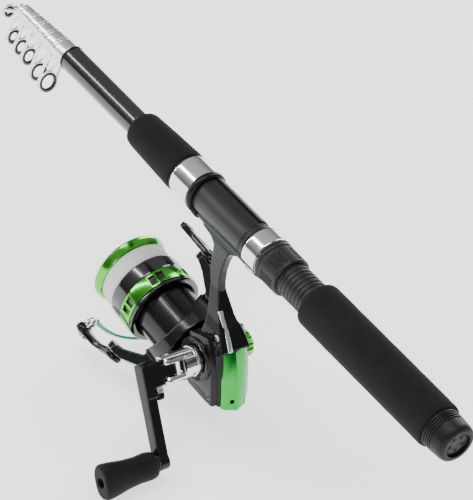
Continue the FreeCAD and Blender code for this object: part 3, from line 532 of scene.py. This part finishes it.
def make_hoods():
    def swell(y):
        """The rear hood's bulge grows towards the foot."""
        return float(np.interp(y, (96.4, 99.5, 103.0, 107.0), (0.2, 0.75, 0.93, 1.0)))

    def fade(y):
        """The front ring's bulge dies away towards the tip."""
        return float(np.interp(y, (161.0, 164.0, 172.0, 177.0), (1.0, 0.95, 0.3, 0.0)))

    rear = hood_outline(HOOD_R, 7.2, 16.2)
    stations = [(96.4, 0.5), (96.8, 0.1), (97.2, 0.0)] + [(98.0 + k, 0.0) for k in range(11)]
    hood("hood_sleeve", rear, 10.95, stations + [(108.4, 0.15), (108.5, 0.4)], CHROME, "hood", "rear_hood", swell)
    for at, low in (("rear", 96.45), ("front", 108.0)):
        bulge = swell(low)
        line = [p.normalized() * (HOOD_R + (p.length - HOOD_R) * bulge) for p in rear]
        trim = [[(p.x * s, p.y * s, y) for p in line] for s, y in
                ((1.004, low), (1.012, low + 0.15), (1.012, low + 0.35), (1.004, low + 0.5),
                 (0.97, low + 0.45), (0.97, low + 0.05))]
        piece(mesh_object("hood_trim_" + at, loft(trim, closed=True), ROD), SEAT_DARK, "hood", angle=60)
    front = hood_outline(13.2, 7.2, 16.4)
    hood("lip_sleeve", front, 10.8, [(157.5, 1.6), (157.6, 0.9), (158.0, 0.3), (158.7, 0.0), (160.6, 0.0),
                                     (161.3, 0.3), (161.7, 1.0)], SEAT_DARK, "rod", "front_hood")
    cuff = hood_outline(12.6, 7.0, 16.0)
    stations = [(161.4, 0.3), (161.7, 0.0)] + [(162.5 + 0.75 * k, 0.0) for k in range(20)]
    hood("ring_sleeve", cuff, 7.8, stations + [(177.5, 0.3), (178.0, 0.7)], CHROME, "rod", "front_ring", fade)
    turned("ring_trim", fillet([(11.5, 177.3), (12.75, 177.3), (12.75, 177.9), (11.5, 177.9)], 0.15), ROD,
           SEAT_DARK, "rod")


# --- blank, nested sections and guides ----------------------------------------------------
# (y, z, radius) of each ring, then (rear end, length) of each collar; the last of both is the tip-top's
GUIDES = ((311.0, -29.9, 6.9), (321.0, -29.4, 6.3), (331.5, -25.6, 5.9), (340.0, -24.8, 5.6),
          (348.4, -22.9, 5.2), (356.5, -10.0, 4.3))
COLLARS = ((294.1, 10.3), (304.7, 9.5), (314.5, 9.0), (323.8, 8.6), (332.7, 9.4), (342.4, 4.6))
COLLAR_WALL = 0.55
GUIDE_TILT = math.radians(12.0)
LAST = len(GUIDES) - 1
BLANK_R, BLANK_MOUTH = 7.65, 291.9


def make_blank():
    outline = [(6.9, -66.4), (7.6, -66.4), (BLANK_R, 223.5), (BLANK_R, 224.2), (7.55, 224.4), (BLANK_R, 224.6),
               (BLANK_R, BLANK_MOUTH), (7.9, 292.1), (7.95, 292.6), (7.95, 293.3), (7.85, 293.7), (7.1, 293.7),
               (6.9, 293.3)]
    made = turned("blank_tube", fillet(outline, 0.06), ROD, BLANK, "rod", "butt_blank", segments=128)
    second_surface(made, SEAT_DARK, lambda centre, normal: centre.y > BLANK_MOUTH)


def make_guides():
    for i, ((y, z, ring_r), (rear, length)) in enumerate(zip(GUIDES, COLLARS)):
        front = rear + length
        name = "tip_top" if i == LAST else "guide_%d" % (i + 1)
        body = "section_%d" % min(i + 2, 6)
        bore = 1.5 if i == LAST else 6.6 - 0.65 * i
        skin = bore + COLLAR_WALL
        collar = lathe(fillet([(bore, rear), (skin - 0.12, rear), (skin, rear + 0.3), (skin, front - 2.6),
                               (skin - 0.15, front - 2.3), (skin, front - 2.0), (skin, front - 0.35),
                               (skin - 0.2, front), (bore, front)], 0.1), 72)
        shapes = [moved(collar, ROD)]
        normal = Vector((0, math.cos(GUIDE_TILT), -math.sin(GUIDE_TILT)))
        up = Vector((0, math.sin(GUIDE_TILT), math.cos(GUIDE_TILT)))
        centre = Vector((0, y, z))
        eye = basis(centre, (1, 0, 0), normal)
        rim = fillet([(ring_r - 0.9, -0.75), (ring_r - 0.15, -0.75), (ring_r + 0.05, 0), (ring_r - 0.15, 0.75),
                      (ring_r - 0.9, 0.75)], 0.25)
        shapes.append(moved(lathe(rim, 72), eye))
        start_r = bore + COLLAR_WALL * 0.6
        for side in (-1, 1):
            root = Vector((side * start_r * 0.86, front - 2.4, -start_r * 0.5))
            knee = Vector((side * (start_r * 0.5 + ring_r * 0.5), front * 0.62 + y * 0.38, -start_r - 3.0))
            hold = centre + Vector((side * (ring_r - 0.25), 0, 0)) + up * 1.6
            toe = centre + Vector((side * (ring_r - 0.35), 0, 0)) - up * 1.6
            path = curve([root + Vector((0, -1.6, 1.2)), root, knee, hold, toe])
            widths = [0.7, 0.9, 1.0, 1.0, 0.7]
            radii = [np.interp(k, np.linspace(0, len(path) - 1, 5), widths) for k in range(len(path))]
            shapes.append(tube(path, radii, 14, flat=0.6, side=(1, 0, 0)))
        if i < LAST:
            brace = curve([(0, front - 4.6, -start_r + 0.2), (0, front - 2.8, -start_r - 0.6),
                           centre + up * (ring_r - 0.2) - normal * 0.2])
            shapes.append(tube(brace, 0.55, 12, flat=1.5, side=(1, 0, 0)))
        made = mesh_object(name + "_wire", together(*shapes))
        piece(made, SILVER if i == LAST else SATIN, body, name + "_frame", angle=45)
        insert = [(ring_r - 0.92 - 0.95 * (1 + math.cos(t)), 1.05 * math.sin(t))
                  for t in (2 * math.pi * k / 16 for k in range(16))]
        turned(name + "_insert", insert, eye, CERAMIC, body, name + "_ring", segments=72, angle=80)


# --- reel body ----------------------------------------------------------------------------
RELIEF_Z = 14.6
# the lines of the side cover: (radius, start and end in degrees, bar's radius, points, centre)
RELIEF = ((12.9, 0, 360, 0.38, 90, (0, 0)), (11.9, 150, 262, 0.3, 28, (0, 0)), (10.9, 165, 255, 0.3, 28, (0, 0)),
          (10.1, 150, 235, 0.25, 28, (0, 0)), (11.6, 20, 100, 0.3, 28, (0, 0)), (10.6, 290, 350, 0.3, 28, (0, 0)),
          (1.5, 0, 360, 0.3, 30, (11.2, -0.6)), (0.7, 0, 360, 0.25, 20, (11.2, -0.6)))
STEM_TOP_Z = -46.0
TRIM_PROUD = 0.35
TOP_SCREW, LOW_SCREW_X = (-9.3, 117.6, -71.2), -13.9
LOW_SCREWS = ((110.2, -107.2), (130.5, -107.2))


def arc_bar(radius, start, end, bar_r, count, centre):
    """A thin round bar along an arc on the side cover."""
    points = [(centre[0] + radius * math.cos(t), centre[1] + radius * math.sin(t), RELIEF_Z)
              for t in np.linspace(math.radians(start), math.radians(end), count)]
    radii = [bar_r * (0.35 if k in (0, count - 1) else 1.0) for k in range(count)]
    return tube(points, radii, 10, side=(0, 0, 1))


def cross_screw(name, at, direction, radius, body, *nodes, surface=STEEL):
    """A domed cross-head screw, its head's outer face at the given point."""
    place = basis(at, Vector(direction).orthogonal(), direction)
    dome = fillet([(0, 0.05), (radius * 0.55, 0.0), (radius, -0.35), (radius, -1.1), (radius * 0.5, -1.1),
                   (radius * 0.5, -3.5), (0, -3.5)], 0.2)
    head = mesh_object(name, lathe(dome, 40), place)
    wide, narrow = radius * 0.62, radius * 0.14
    for k in range(2):
        arm = [(wide, narrow), (-wide, narrow), (-wide, -narrow), (wide, -narrow)]
        arm = [(y, x) for x, y in arm] if k else arm
        cut_by(head, mesh_object("slot_cutter", prism(arm, -0.7, 1.0), place))
    return piece(head, surface, body, *nodes, angle=30)


def make_body():
    shell = soften(cad_copy("body_shell", "reel_body", clean=False), 0.55, 8)
    piece(shell, BODY, "rod", "reel_body", angle=180)
    # The stem's upper part has a real matte finish; its lighter colour there is painted light, where light falls on
    # it.
    second_surface(shell, BODY_PAINTED_LIGHT, lambda centre, normal: centre.z > STEM_TOP_Z)
    plate = bevel(cad_copy("cover_plate", "side_cover"), 0.7)
    piece(plate, BODY, "rod", "side_cover")
    lines = [arc_bar(*line) for line in RELIEF]
    # The relief lines get the lighter paint as a painted highlight along the raised lines.
    piece(mesh_object("cover_relief", together(*lines), CRANK), BODY_PAINTED_LIGHT, "rod", angle=70)
    piece(bevel(cad_copy("tail_shell", "rear_cover"), 0.5, 3), GREEN_DEEP, "rod", "rear_cover")
    strip = bevel(cad_copy("stem_strip", "stem_trim"), 0.3)
    proud = strip.modifiers.new("proud", "DISPLACE")
    proud.mid_level = 0.0
    proud.strength = TRIM_PROUD * MM
    piece(apply_modifiers(strip), SATIN, "rod", "stem_trim")
    cross_screw("housing_screw_head", TOP_SCREW, (-1, 0, 0), 2.1, "rod", "housing_screws")
    for k, (y, z) in enumerate(LOW_SCREWS):
        cross_screw("housing_screw_low_%d" % k, (LOW_SCREW_X, y, z), (-1, 0, 0), 1.9, "rod", surface=DARK_STEEL)


# --- spool --------------------------------------------------------------------------------
LINE_R, LINE_TURNS, LINE_START, LINE_LENGTH = 21.75, 36, 17.6, 10.4
DRAG_RIBS, RIB_START = 16, 28.0


def make_spool():
    core = [(2.1, -5.0), (6.0, -5.0), (6.0, 12.5), (19.3, 12.5), (19.3, -3.4), (20.2, -4.3), (21.8, -4.4),
            (23.1, -4.0), (23.4, -3.2), (23.3, -2.4), (22.4, -2.05), (22.0, -1.95), (22.0, 7.1), (22.9, 7.15),
            (23.3, 7.5), (23.4, 8.3), (23.4, 16.0), (23.2, 16.8), (22.6, 17.15), (17.0, 17.2), (17.0, 33.6),
            (16.0, 33.6), (13.6, 31.0), (13.6, 20.0), (2.1, 20.0)]
    turned("spool_core", fillet(core, 0.35), SPOOL, BAND, "spool", "spool", segments=160)
    lip = [(16.0, 33.7), (17.15, 33.65), (17.15, 32.5), (20.9, 32.3), (20.9, 28.4), (21.8, 28.2), (22.3, 28.8),
           (23.0, 30.2), (23.6, 31.8), (23.8, 33.0), (23.4, 33.9), (22.6, 34.5), (21.4, 34.9), (19.6, 35.3),
           (17.0, 35.35), (15.0, 34.7), (14.2, 34.3), (14.2, 33.7)]
    turned("spool_rim", fillet(lip, 0.4), SPOOL, GREEN, "spool", "spool_lip", segments=160)
    turns = [(17.1, 17.3), (20.9, 17.3)]
    for k in range(LINE_TURNS):
        z = LINE_START + LINE_LENGTH * k / LINE_TURNS
        crown = LINE_R - 0.35 * ((k - LINE_TURNS / 2) / (LINE_TURNS / 2)) ** 4
        turns += [(crown - 0.12, z), (crown + 0.06, z + 0.1), (crown + 0.06, z + 0.28)]
    turns += [(20.7, 28.3), (20.6, 31.9), (17.1, 32.0)]

    def uneven(r, angle, z):
        """The line lies a little unevenly."""
        if r <= 18:
            return r
        return r + (0.05 * math.sin(5 * angle + 2.1 * z) + 0.03 * math.sin(11 * angle - 3 * z))

    turned("line_turns", turns, SPOOL, LINE, "spool", "wound_line", segments=180, change=uneven, angle=80)
    band = bevel(cad_copy("window_ring", "spool_ring"), 0.18, 2)
    piece(band, GREEN, "spool", "spool_ring", angle=30)

    def ribbed(r, angle, z):
        """Grooves round the dial that start behind its front face."""
        if r < 11.0 or z < RIB_START:
            return r
        return r - 0.9 * max(0.0, math.cos(DRAG_RIBS * angle)) ** 3 * min(1.0, (z - RIB_START) / 2.0)

    knob = [(2.1, 27.0), (12.6, 27.0), (12.75, 27.3), (12.75, 30.0), (12.75, 33.0), (12.7, 35.6), (12.4, 37.4),
            (11.8, 39.6), (11.1, 41.6), (10.3, 42.4), (8.6, 42.5), (8.2, 42.1), (7.7, 42.1), (7.3, 42.5),
            (3.0, 42.6), (0, 42.6), (0, 32.0), (2.1, 32.0)]
    turned("drag_dial", fillet(knob, 0.3), SPOOL, SEAT_DARK, "drag", "drag_knob", segments=320, change=ribbed)


# --- rotor and bail -----------------------------------------------------------------------
SCOOP_Z = -4.8                                          # middle of the hollow between the rotor's arms
HEAD_AXIS = Vector((-0.80, -0.45, -0.40)).normalized()
ROLLER_Z = 25.0
PIVOT_BORE_R = 1.65
LEVER_EDGE = 1.1
WIRE_POINTS = 90


def make_rotor():
    yoke = soften(cad_copy("rotor_yoke", "rotor", clean=False), 0.5, 6)
    piece(yoke, ROTOR, "rotor", "rotor", angle=180)
    inverse = SPOOL.inverted()

    def scooped(centre, normal):
        """Whether a face lines the hollow between the arms."""
        p = inverse @ centre
        n = inverse.to_3x3() @ normal
        reach = math.hypot(p.x, p.z - SCOOP_Z)
        return math.hypot(p.x, p.y) > 20.8 and reach < 27.0 and n.x * p.x + n.z * (p.z - SCOOP_Z) < -8.0

    second_surface(yoke, EDGE, scooped)


def lever(name, side, stations, x_of, thick_of):
    """A bail lever lofted across its thickness: x_of(z) is its inner face, thick_of(z) its depth."""
    outline = [(-w, z) for z, w in stations] + [(w, z) for z, w in reversed(stations)]
    rings = [[(side * (x_of(z) + t * thick_of(z)), y, z) for y, z in outline] for t in (0.0, 1.0)]
    return bevel(mesh_object(name, loft(rings), SPOOL), LEVER_EDGE, 4, angle=50)


def half_widths(points, count=34):
    """Stations (z, half width) that are round at both ends and follow the points between."""
    zs = [p[0] for p in points]
    ws = [p[1] for p in points]
    made = []
    z_low, z_high = zs[0], zs[-1]
    r_low, r_high = ws[0], ws[-1]
    for k in range(count + 1):
        t = 0.5 - 0.5 * math.cos(math.pi * k / count)
        z = z_low + (z_high - z_low) * t
        w = float(np.interp(z, zs, ws))
        if z < z_low + r_low:
            w = math.sqrt(max(0.0, r_low ** 2 - (z_low + r_low - z) ** 2))
        if z > z_high - r_high:
            w = math.sqrt(max(0.0, r_high ** 2 - (z - z_high + r_high) ** 2))
        made.append((z, max(w, 0.05)))
    return made


def join(thing, other):
    """Add the other object's mesh to the first one's."""
    work = bmesh.new()
    work.from_mesh(thing.data)
    work.from_mesh(other.data)
    work.to_mesh(thing.data)
    work.free()
    bpy.data.objects.remove(other)
    return thing


def ease(value, low, high):
    """0 up to low, 1 from high on, and a smooth step between them."""
    t = min(1.0, max(0.0, (value - low) / (high - low)))
    return t * t * (3 - 2 * t)


def make_bail():
    widths = half_widths([(-6.2, 6.2), (0, 6.2), (7, 4.9), (13, 4.0), (19, 4.5), (24.9, 5.6), (30.5, 5.6)])
    arm = lever("bail_lever", -1, widths, lambda z: 38.5 + 3.1 * ease(z, 2, 12),
                lambda z: 3.4 + 0.5 * ease(z, 4, 16))
    across = basis((0, 0, 0), (0, 1, 0), (1, 0, 0))
    at_roller = SPOOL @ basis((0, 0, ROLLER_Z), (0, 1, 0), (-1, 0, 0))
    tilt = basis((-43.0, -0.6, ROLLER_Z), (0, 0, 1), HEAD_AXIS)
    knuckle = fillet([(0, -1.5), (4.2, -1.5), (5.5, 0.6), (5.5, 2.2), (4.4, 3.6), (0, 3.9)], 1.0)
    join(arm, mesh_object("knuckle", moved(lathe(knuckle, 64), tilt), SPOOL))
    soften(arm, 0.4, 5)
    bore = lathe([(0, -60), (PIVOT_BORE_R, -60), (PIVOT_BORE_R, -30), (0, -30)], 32)
    cut_by(arm, mesh_object("pivot_cutter", moved(bore, across), SPOOL))
    rim = lathe([(2.6, 3.2), (3.3, 3.2), (3.3, 6), (2.6, 6)], 48)
    cut_by(arm, mesh_object("rim_cutter", moved(rim, tilt), SPOOL))
    piece(arm, BODY, "bail", "bail_arm")
    head = SPOOL @ (tilt @ Vector((0, 0, 4.5)))
    cross_screw("roller_screw", head, SPOOL.to_3x3() @ HEAD_AXIS, 2.2, "bail")
    cone = [(0, 34.4), (1.5, 34.4), (2.2, 35.2), (2.9, 36.6), (2.9, 36.95), (1.2, 36.95), (1.2, 41.6), (0, 41.6)]
    turned("wire_cone", fillet(cone, 0.2), at_roller, SATIN, "bail", segments=48)
    roller = [(1.3, 37.1), (3.2, 37.1), (3.6, 37.5), (3.6, 38.2), (3.0, 38.9), (3.0, 39.4), (3.6, 40.1), (3.6, 40.8),
              (3.2, 41.2), (1.3, 41.2)]
    turned("roller_sleeve", fillet(roller, 0.2), at_roller, CHROME, "roller", "line_roller", segments=64)

    widths = half_widths([(-6.2, 6.2), (0, 6.2), (8, 5.4), (16, 4.4), (23.9, 4.6), (28.5, 4.6)])
    ear = lever("bail_lobe", 1, widths, lambda z: 38.45, lambda z: 3.5)
    bore = lathe([(0, 30), (PIVOT_BORE_R, 30), (PIVOT_BORE_R, 60), (0, 60)], 32)
    cut_by(ear, mesh_object("pivot_cutter", moved(bore, across), SPOOL))
    slot_points = [(1.7 * math.cos(t), 10.7 + 1.9 * math.sin(t) + (2.0 if math.sin(t) > 0 else -2.0))
                   for t in (2 * math.pi * k / 28 for k in range(28))]
    slot_low = [(36.0, y, z) for y, z in slot_points]
    slot_high = [(46.0, y, z) for y, z in slot_points]
    cut_by(ear, mesh_object("window_cutter", loft([slot_low, slot_high]), SPOOL))
    piece(ear, BODY, "bail", "bail_ear")
    dish = [(0, 42.05), (2.6, 42.05), (3.2, 42.3), (3.5, 42.15), (3.5, 41.6), (0, 41.6)]
    turned("ear_dish", fillet(dish, 0.15), SPOOL @ basis((0, 0, 23.6), (0, 1, 0), (1, 0, 0)), EDGE, "bail",
           segments=48)
    for name, x, nodes in (("bail_screw_left", -42.8, []), ("bail_screw_right", 42.9, ["bail_screws"])):
        cross_screw(name, SPOOL @ Vector((x, 0, 0)), PIVOT_DIR * math.copysign(1, x), 2.6, "bail", *nodes,
                    surface=DARK_STEEL)

    # the wire is an arc of the circle through these three points
    a, b, c = Vector((-35.3, 2.4, 24.7)), Vector((1.6, 46.4, 8.0)), Vector((40.0, 5.2, 15.0))
    ab, ac = b - a, c - a
    n = ab.cross(ac)
    centre = a + (n.cross(ab) * ac.length_squared + ac.cross(n) * ab.length_squared) / (2 * n.length_squared)
    radius = (a - centre).length
    u = (a - centre).normalized()
    v = n.normalized().cross(u)
    end = math.atan2((c - centre).dot(v), (c - centre).dot(u)) % (2 * math.pi)
    path = [centre + (u * math.cos(t) + v * math.sin(t)) * radius for t in np.linspace(0, end, WIRE_POINTS)]
    radii = [float(np.interp(k, (0, 4, 12, 77, 85, 89), (1.6, 1.35, 0.9, 0.9, 1.35, 1.5)))
             for k in range(WIRE_POINTS)]
    piece(mesh_object("bail_loop", tube(path, radii, 20), SPOOL), WIRE, "bail", "bail_wire", angle=60)


# --- crank --------------------------------------------------------------------------------
def make_crank():
    collar = [(3.6, 15.0), (8.7, 15.0), (8.9, 15.3), (8.9, 16.0), (8.5, 16.3), (8.5, 16.9), (8.9, 17.2),
              (8.9, 17.8), (8.4, 18.1), (8.25, 18.6), (8.25, 25.2), (8.0, 25.6), (3.6, 25.6)]
    turned("crank_collar", fillet(collar, 0.2), CRANK, CHROME, "crank", segments=96)
    fork = bevel(cad_copy("crank_fork", "crank_hub"), 0.35, 2)
    piece(fork, CHROME, "crank", "crank_hub", angle=30)
    pin = fillet([(0, -7.3), (1.2, -7.3), (1.5, -7.0), (1.5, 7.0), (1.2, 7.3), (0, 7.3)], 0.15)
    turned("fold_axle", pin, CRANK @ basis((0, 0, 33.0), (0, 1, 0), (1, 0, 0)), DARK_STEEL, "crank", "fold_pin",
           segments=32)
    arm = soften(cad_copy("crank_shank", "crank_arm", clean=False), 0.5, 9)
    piece(arm, CRANK_PAINT, "arm", "crank_arm", angle=180)
    along = CRANK @ basis((0, 0, 42.2), (0, 1, 0), (1, 0, 0))
    sleeve = [(0, 5.6), (1.5, 5.6), (1.5, 7.3), (2.9, 7.3), (3.0, 7.6), (3.0, 8.2), (2.8, 8.4), (2.8, 9.0),
              (3.0, 9.2), (3.0, 11.0), (0, 11.0)]
    turned("button_sleeve", fillet(sleeve, 0.15), along, CHROME, "button", "fold_button", segments=48)
    cap = [(0, 11.05), (2.7, 11.05), (2.9, 11.3), (2.9, 14.0), (2.4, 15.1), (1.2, 15.4), (0, 15.4)]
    turned("button_cap", fillet(cap, 0.4), along, SEAT_DARK, "button", segments=48)


KNOB_LOW, KNOB_HIGH, KNOB_RINGS = 53.5, 90.9, 37
SQUARENESS = 2.5                                        # 2 is an ellipse, more is closer to a rectangle


def superellipse(long_r, short_r, count=64):
    """An ellipse with fuller corners."""
    made = []
    for k in range(count):
        t = 2 * math.pi * k / count
        x, y = (math.copysign(abs(c) ** (2 / SQUARENESS), c) for c in (math.cos(t), math.sin(t)))
        made.append((long_r * x, short_r * y))
    return made


def make_knob():
    place = CRANK @ Matrix.Translation((CRANK_LENGTH, 0, 0))
    zs = [53.4, 55.0, 59.0, 66.0, 74.0, 84.0, 89.0, 91.0]
    longs = [6.0, 7.6, 8.2, 7.9, 8.5, 10.2, 10.6, 9.8]
    shorts = [5.0, 6.0, 6.4, 6.0, 6.1, 6.7, 6.8, 6.2]
    rings = []
    for k in range(KNOB_RINGS):
        z = KNOB_LOW + (KNOB_HIGH - KNOB_LOW) * k / (KNOB_RINGS - 1)
        end = min(1.0, math.sqrt(max(0.0, 1 - max(0.0, 1 - (z - KNOB_LOW) / 1.6) ** 2)),
                  math.sqrt(max(0.0, 1 - max(0.0, 1 - (KNOB_HIGH - z) / 1.4) ** 2)))
        shrink = 0.86 + 0.14 * end
        a, b = np.interp(z, zs, longs) * shrink, np.interp(z, zs, shorts) * shrink
        rings.append([(x, y, z) for x, y in superellipse(a, b)])
    grip = smooth(mesh_object("knob_grip", loft(rings), place), 3)
    cut_by(grip, mesh_object("end_cutter", lathe([(0, 87.5), (3.1, 87.5), (3.1, 95), (0, 95)], 48), place))
    cut_by(grip, mesh_object("bore_cutter", lathe([(0, 50), (2.1, 50), (2.1, 86.5), (0, 86.5)], 32), place))
    piece(bevel(grip, 0.35, 3, 40), KNOB_RUBBER, "knob", "handle_knob")
    washer = fillet([(2.1, 52.85), (4.9, 52.85), (5.1, 53.1), (4.9, 53.35), (2.1, 53.35)], 0.1)
    turned("knob_washer", washer, place, DARK_STEEL, "arm", segments=48)


CAP_FLUTES, FLUTE_START = 12, 15.2


def make_cap():
    def fluted(r, angle, z):
        """Flutes round the cap that start above its rim."""
        if r < 7.4 or z < FLUTE_START:
            return r
        return r - 0.95 * (0.5 - 0.5 * math.cos(CAP_FLUTES * angle)) ** 2.2 * min(1.0, (z - FLUTE_START) / 0.6)

    outline = [(0, 14.3), (8.2, 14.3), (8.4, 14.6), (8.4, 15.1), (8.35, 15.4), (8.35, 16.0), (8.35, 17.5),
               (8.35, 19.0), (8.3, 20.3), (8.0, 21.0), (7.3, 21.35), (5.2, 21.4), (4.8, 21.1), (0, 21.1)]
    turned("cap_dial", fillet(outline, 0.2), FAR_SIDE, GREEN, "cap", "screw_cap", segments=288, change=fluted,
           angle=40)


def finish_inner_parts():
    """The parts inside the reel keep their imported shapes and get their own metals."""
    surfaces = {"drive_gear": BRASS, "shaft_bearings": STEEL, "pinion": BRASS, "pinion_bearing": STEEL,
                "anti_reverse_clutch": NYLON, "main_shaft": STEEL, "oscillation_slider": DARK_STEEL,
                "oscillation_gear": NYLON, "rotor_nut": STEEL, "drag_washers": FELT}
    for i in range(2, 7):
        surfaces["section_%d" % i] = SILVER
    for node, surface in surfaces.items():
        NODES[node].data.materials.clear()
        NODES[node].data.materials.append(surface)


# --- floor, light and camera --------------------------------------------------------------
FLOOR_HALF, FLOOR_GAP = 6.0, 0.0005                     # metres
LIGHT_TARGET = Vector((0, 0.13, -0.05))
# name, place, width and height in metres, power in watts
LIGHTS = (("strip", (-1.05, 1.45, 1.25), 0.12, 2.6, 26), ("key", (-0.2, 0.4, 1.9), 0.9, 0.9, 16),
          ("rim", (1.3, 0.7, 0.6), 0.25, 1.4, 10), ("fill", (-1.2, -0.9, 0.5), 0.5, 0.5, 6))
LENS_MM, SENSOR_MM = 308.8, 36.0
CAMERA_RIGHT = Vector((0.80037, -0.57833, 0.15793))
CAMERA_UP = Vector((0.27079, 0.58378, 0.76543))
CAMERA_AIM, CAMERA_DISTANCE = Vector((-0.01056, 0.11451, -0.00357)), 2.350


def make_stage():
    floor_surface = bpy.data.materials.new("floor")
    floor_surface.use_nodes = True
    shader = floor_surface.node_tree.nodes["Principled BSDF"]
    shader.inputs["Base Color"].default_value = (0.95, 0.95, 0.95, 1)
    shader.inputs["Roughness"].default_value = 0.9
    shader.inputs["Specular IOR Level"].default_value = 0.1
    shader.inputs["Emission Color"].default_value = (1, 1, 1, 1)
    shader.inputs["Emission Strength"].default_value = 1.3
    corners = [(x * FLOOR_HALF, y * FLOOR_HALF, cad_low.z - FLOOR_GAP)
               for x, y in ((-1, -1), (1, -1), (1, 1), (-1, 1))]
    mesh = bpy.data.meshes.new("floor")
    mesh.from_pydata(corners, [], [(0, 1, 2, 3)])
    mesh.materials.append(floor_surface)
    floor = bpy.data.objects.new("floor", mesh)
    bpy.context.scene.collection.objects.link(floor)

    world = bpy.data.worlds.new("studio")
    world.use_nodes = True
    nodes, links = world.node_tree.nodes, world.node_tree.links
    height = nodes.new("ShaderNodeSeparateXYZ")
    links.new(nodes.new("ShaderNodeTexCoord").outputs["Generated"], height.inputs["Vector"])
    sky = nodes.new("ShaderNodeValToRGB")
    for stop, at, grey in zip(sky.color_ramp.elements, (0.05, 0.75), (0.22, 1.0)):
        stop.position = at
        stop.color = (grey, grey, grey, 1)
    links.new(height.outputs["Z"], sky.inputs["Fac"])
    links.new(sky.outputs["Color"], nodes["Background"].inputs["Color"])
    nodes["Background"].inputs["Strength"].default_value = 0.5
    bpy.context.scene.world = world

    for name, place, size, long, power in LIGHTS:
        light = bpy.data.lights.new(name, "AREA")
        light.energy = power
        light.shape = "RECTANGLE"
        light.size, light.size_y = size, long
        lamp = bpy.data.objects.new(name, light)
        lamp.location = place
        lamp.rotation_mode = "QUATERNION"
        lamp.rotation_quaternion = (LIGHT_TARGET - Vector(place)).to_track_quat("-Z", "Y")
        bpy.context.scene.collection.objects.link(lamp)


def make_camera():
    lens = bpy.data.cameras.new("camera")
    lens.lens = LENS_MM
    lens.sensor_width = SENSOR_MM
    lens.clip_start, lens.clip_end = 0.05, 30.0
    camera = bpy.data.objects.new("camera", lens)
    back = CAMERA_RIGHT.cross(CAMERA_UP).normalized()
    up = back.cross(CAMERA_RIGHT).normalized()
    turn = Matrix((CAMERA_RIGHT, up, back)).transposed().to_4x4()
    turn.translation = CAMERA_AIM + back * CAMERA_DISTANCE
    camera.matrix_world = turn
    bpy.context.scene.collection.objects.link(camera)
    bpy.context.scene.camera = camera


make_handle()
make_seat()
make_hoods()
make_blank()
make_guides()
make_body()
make_spool()
make_rotor()
make_bail()
make_crank()
make_knob()
make_cap()
finish_inner_parts()
make_stage()
make_camera()
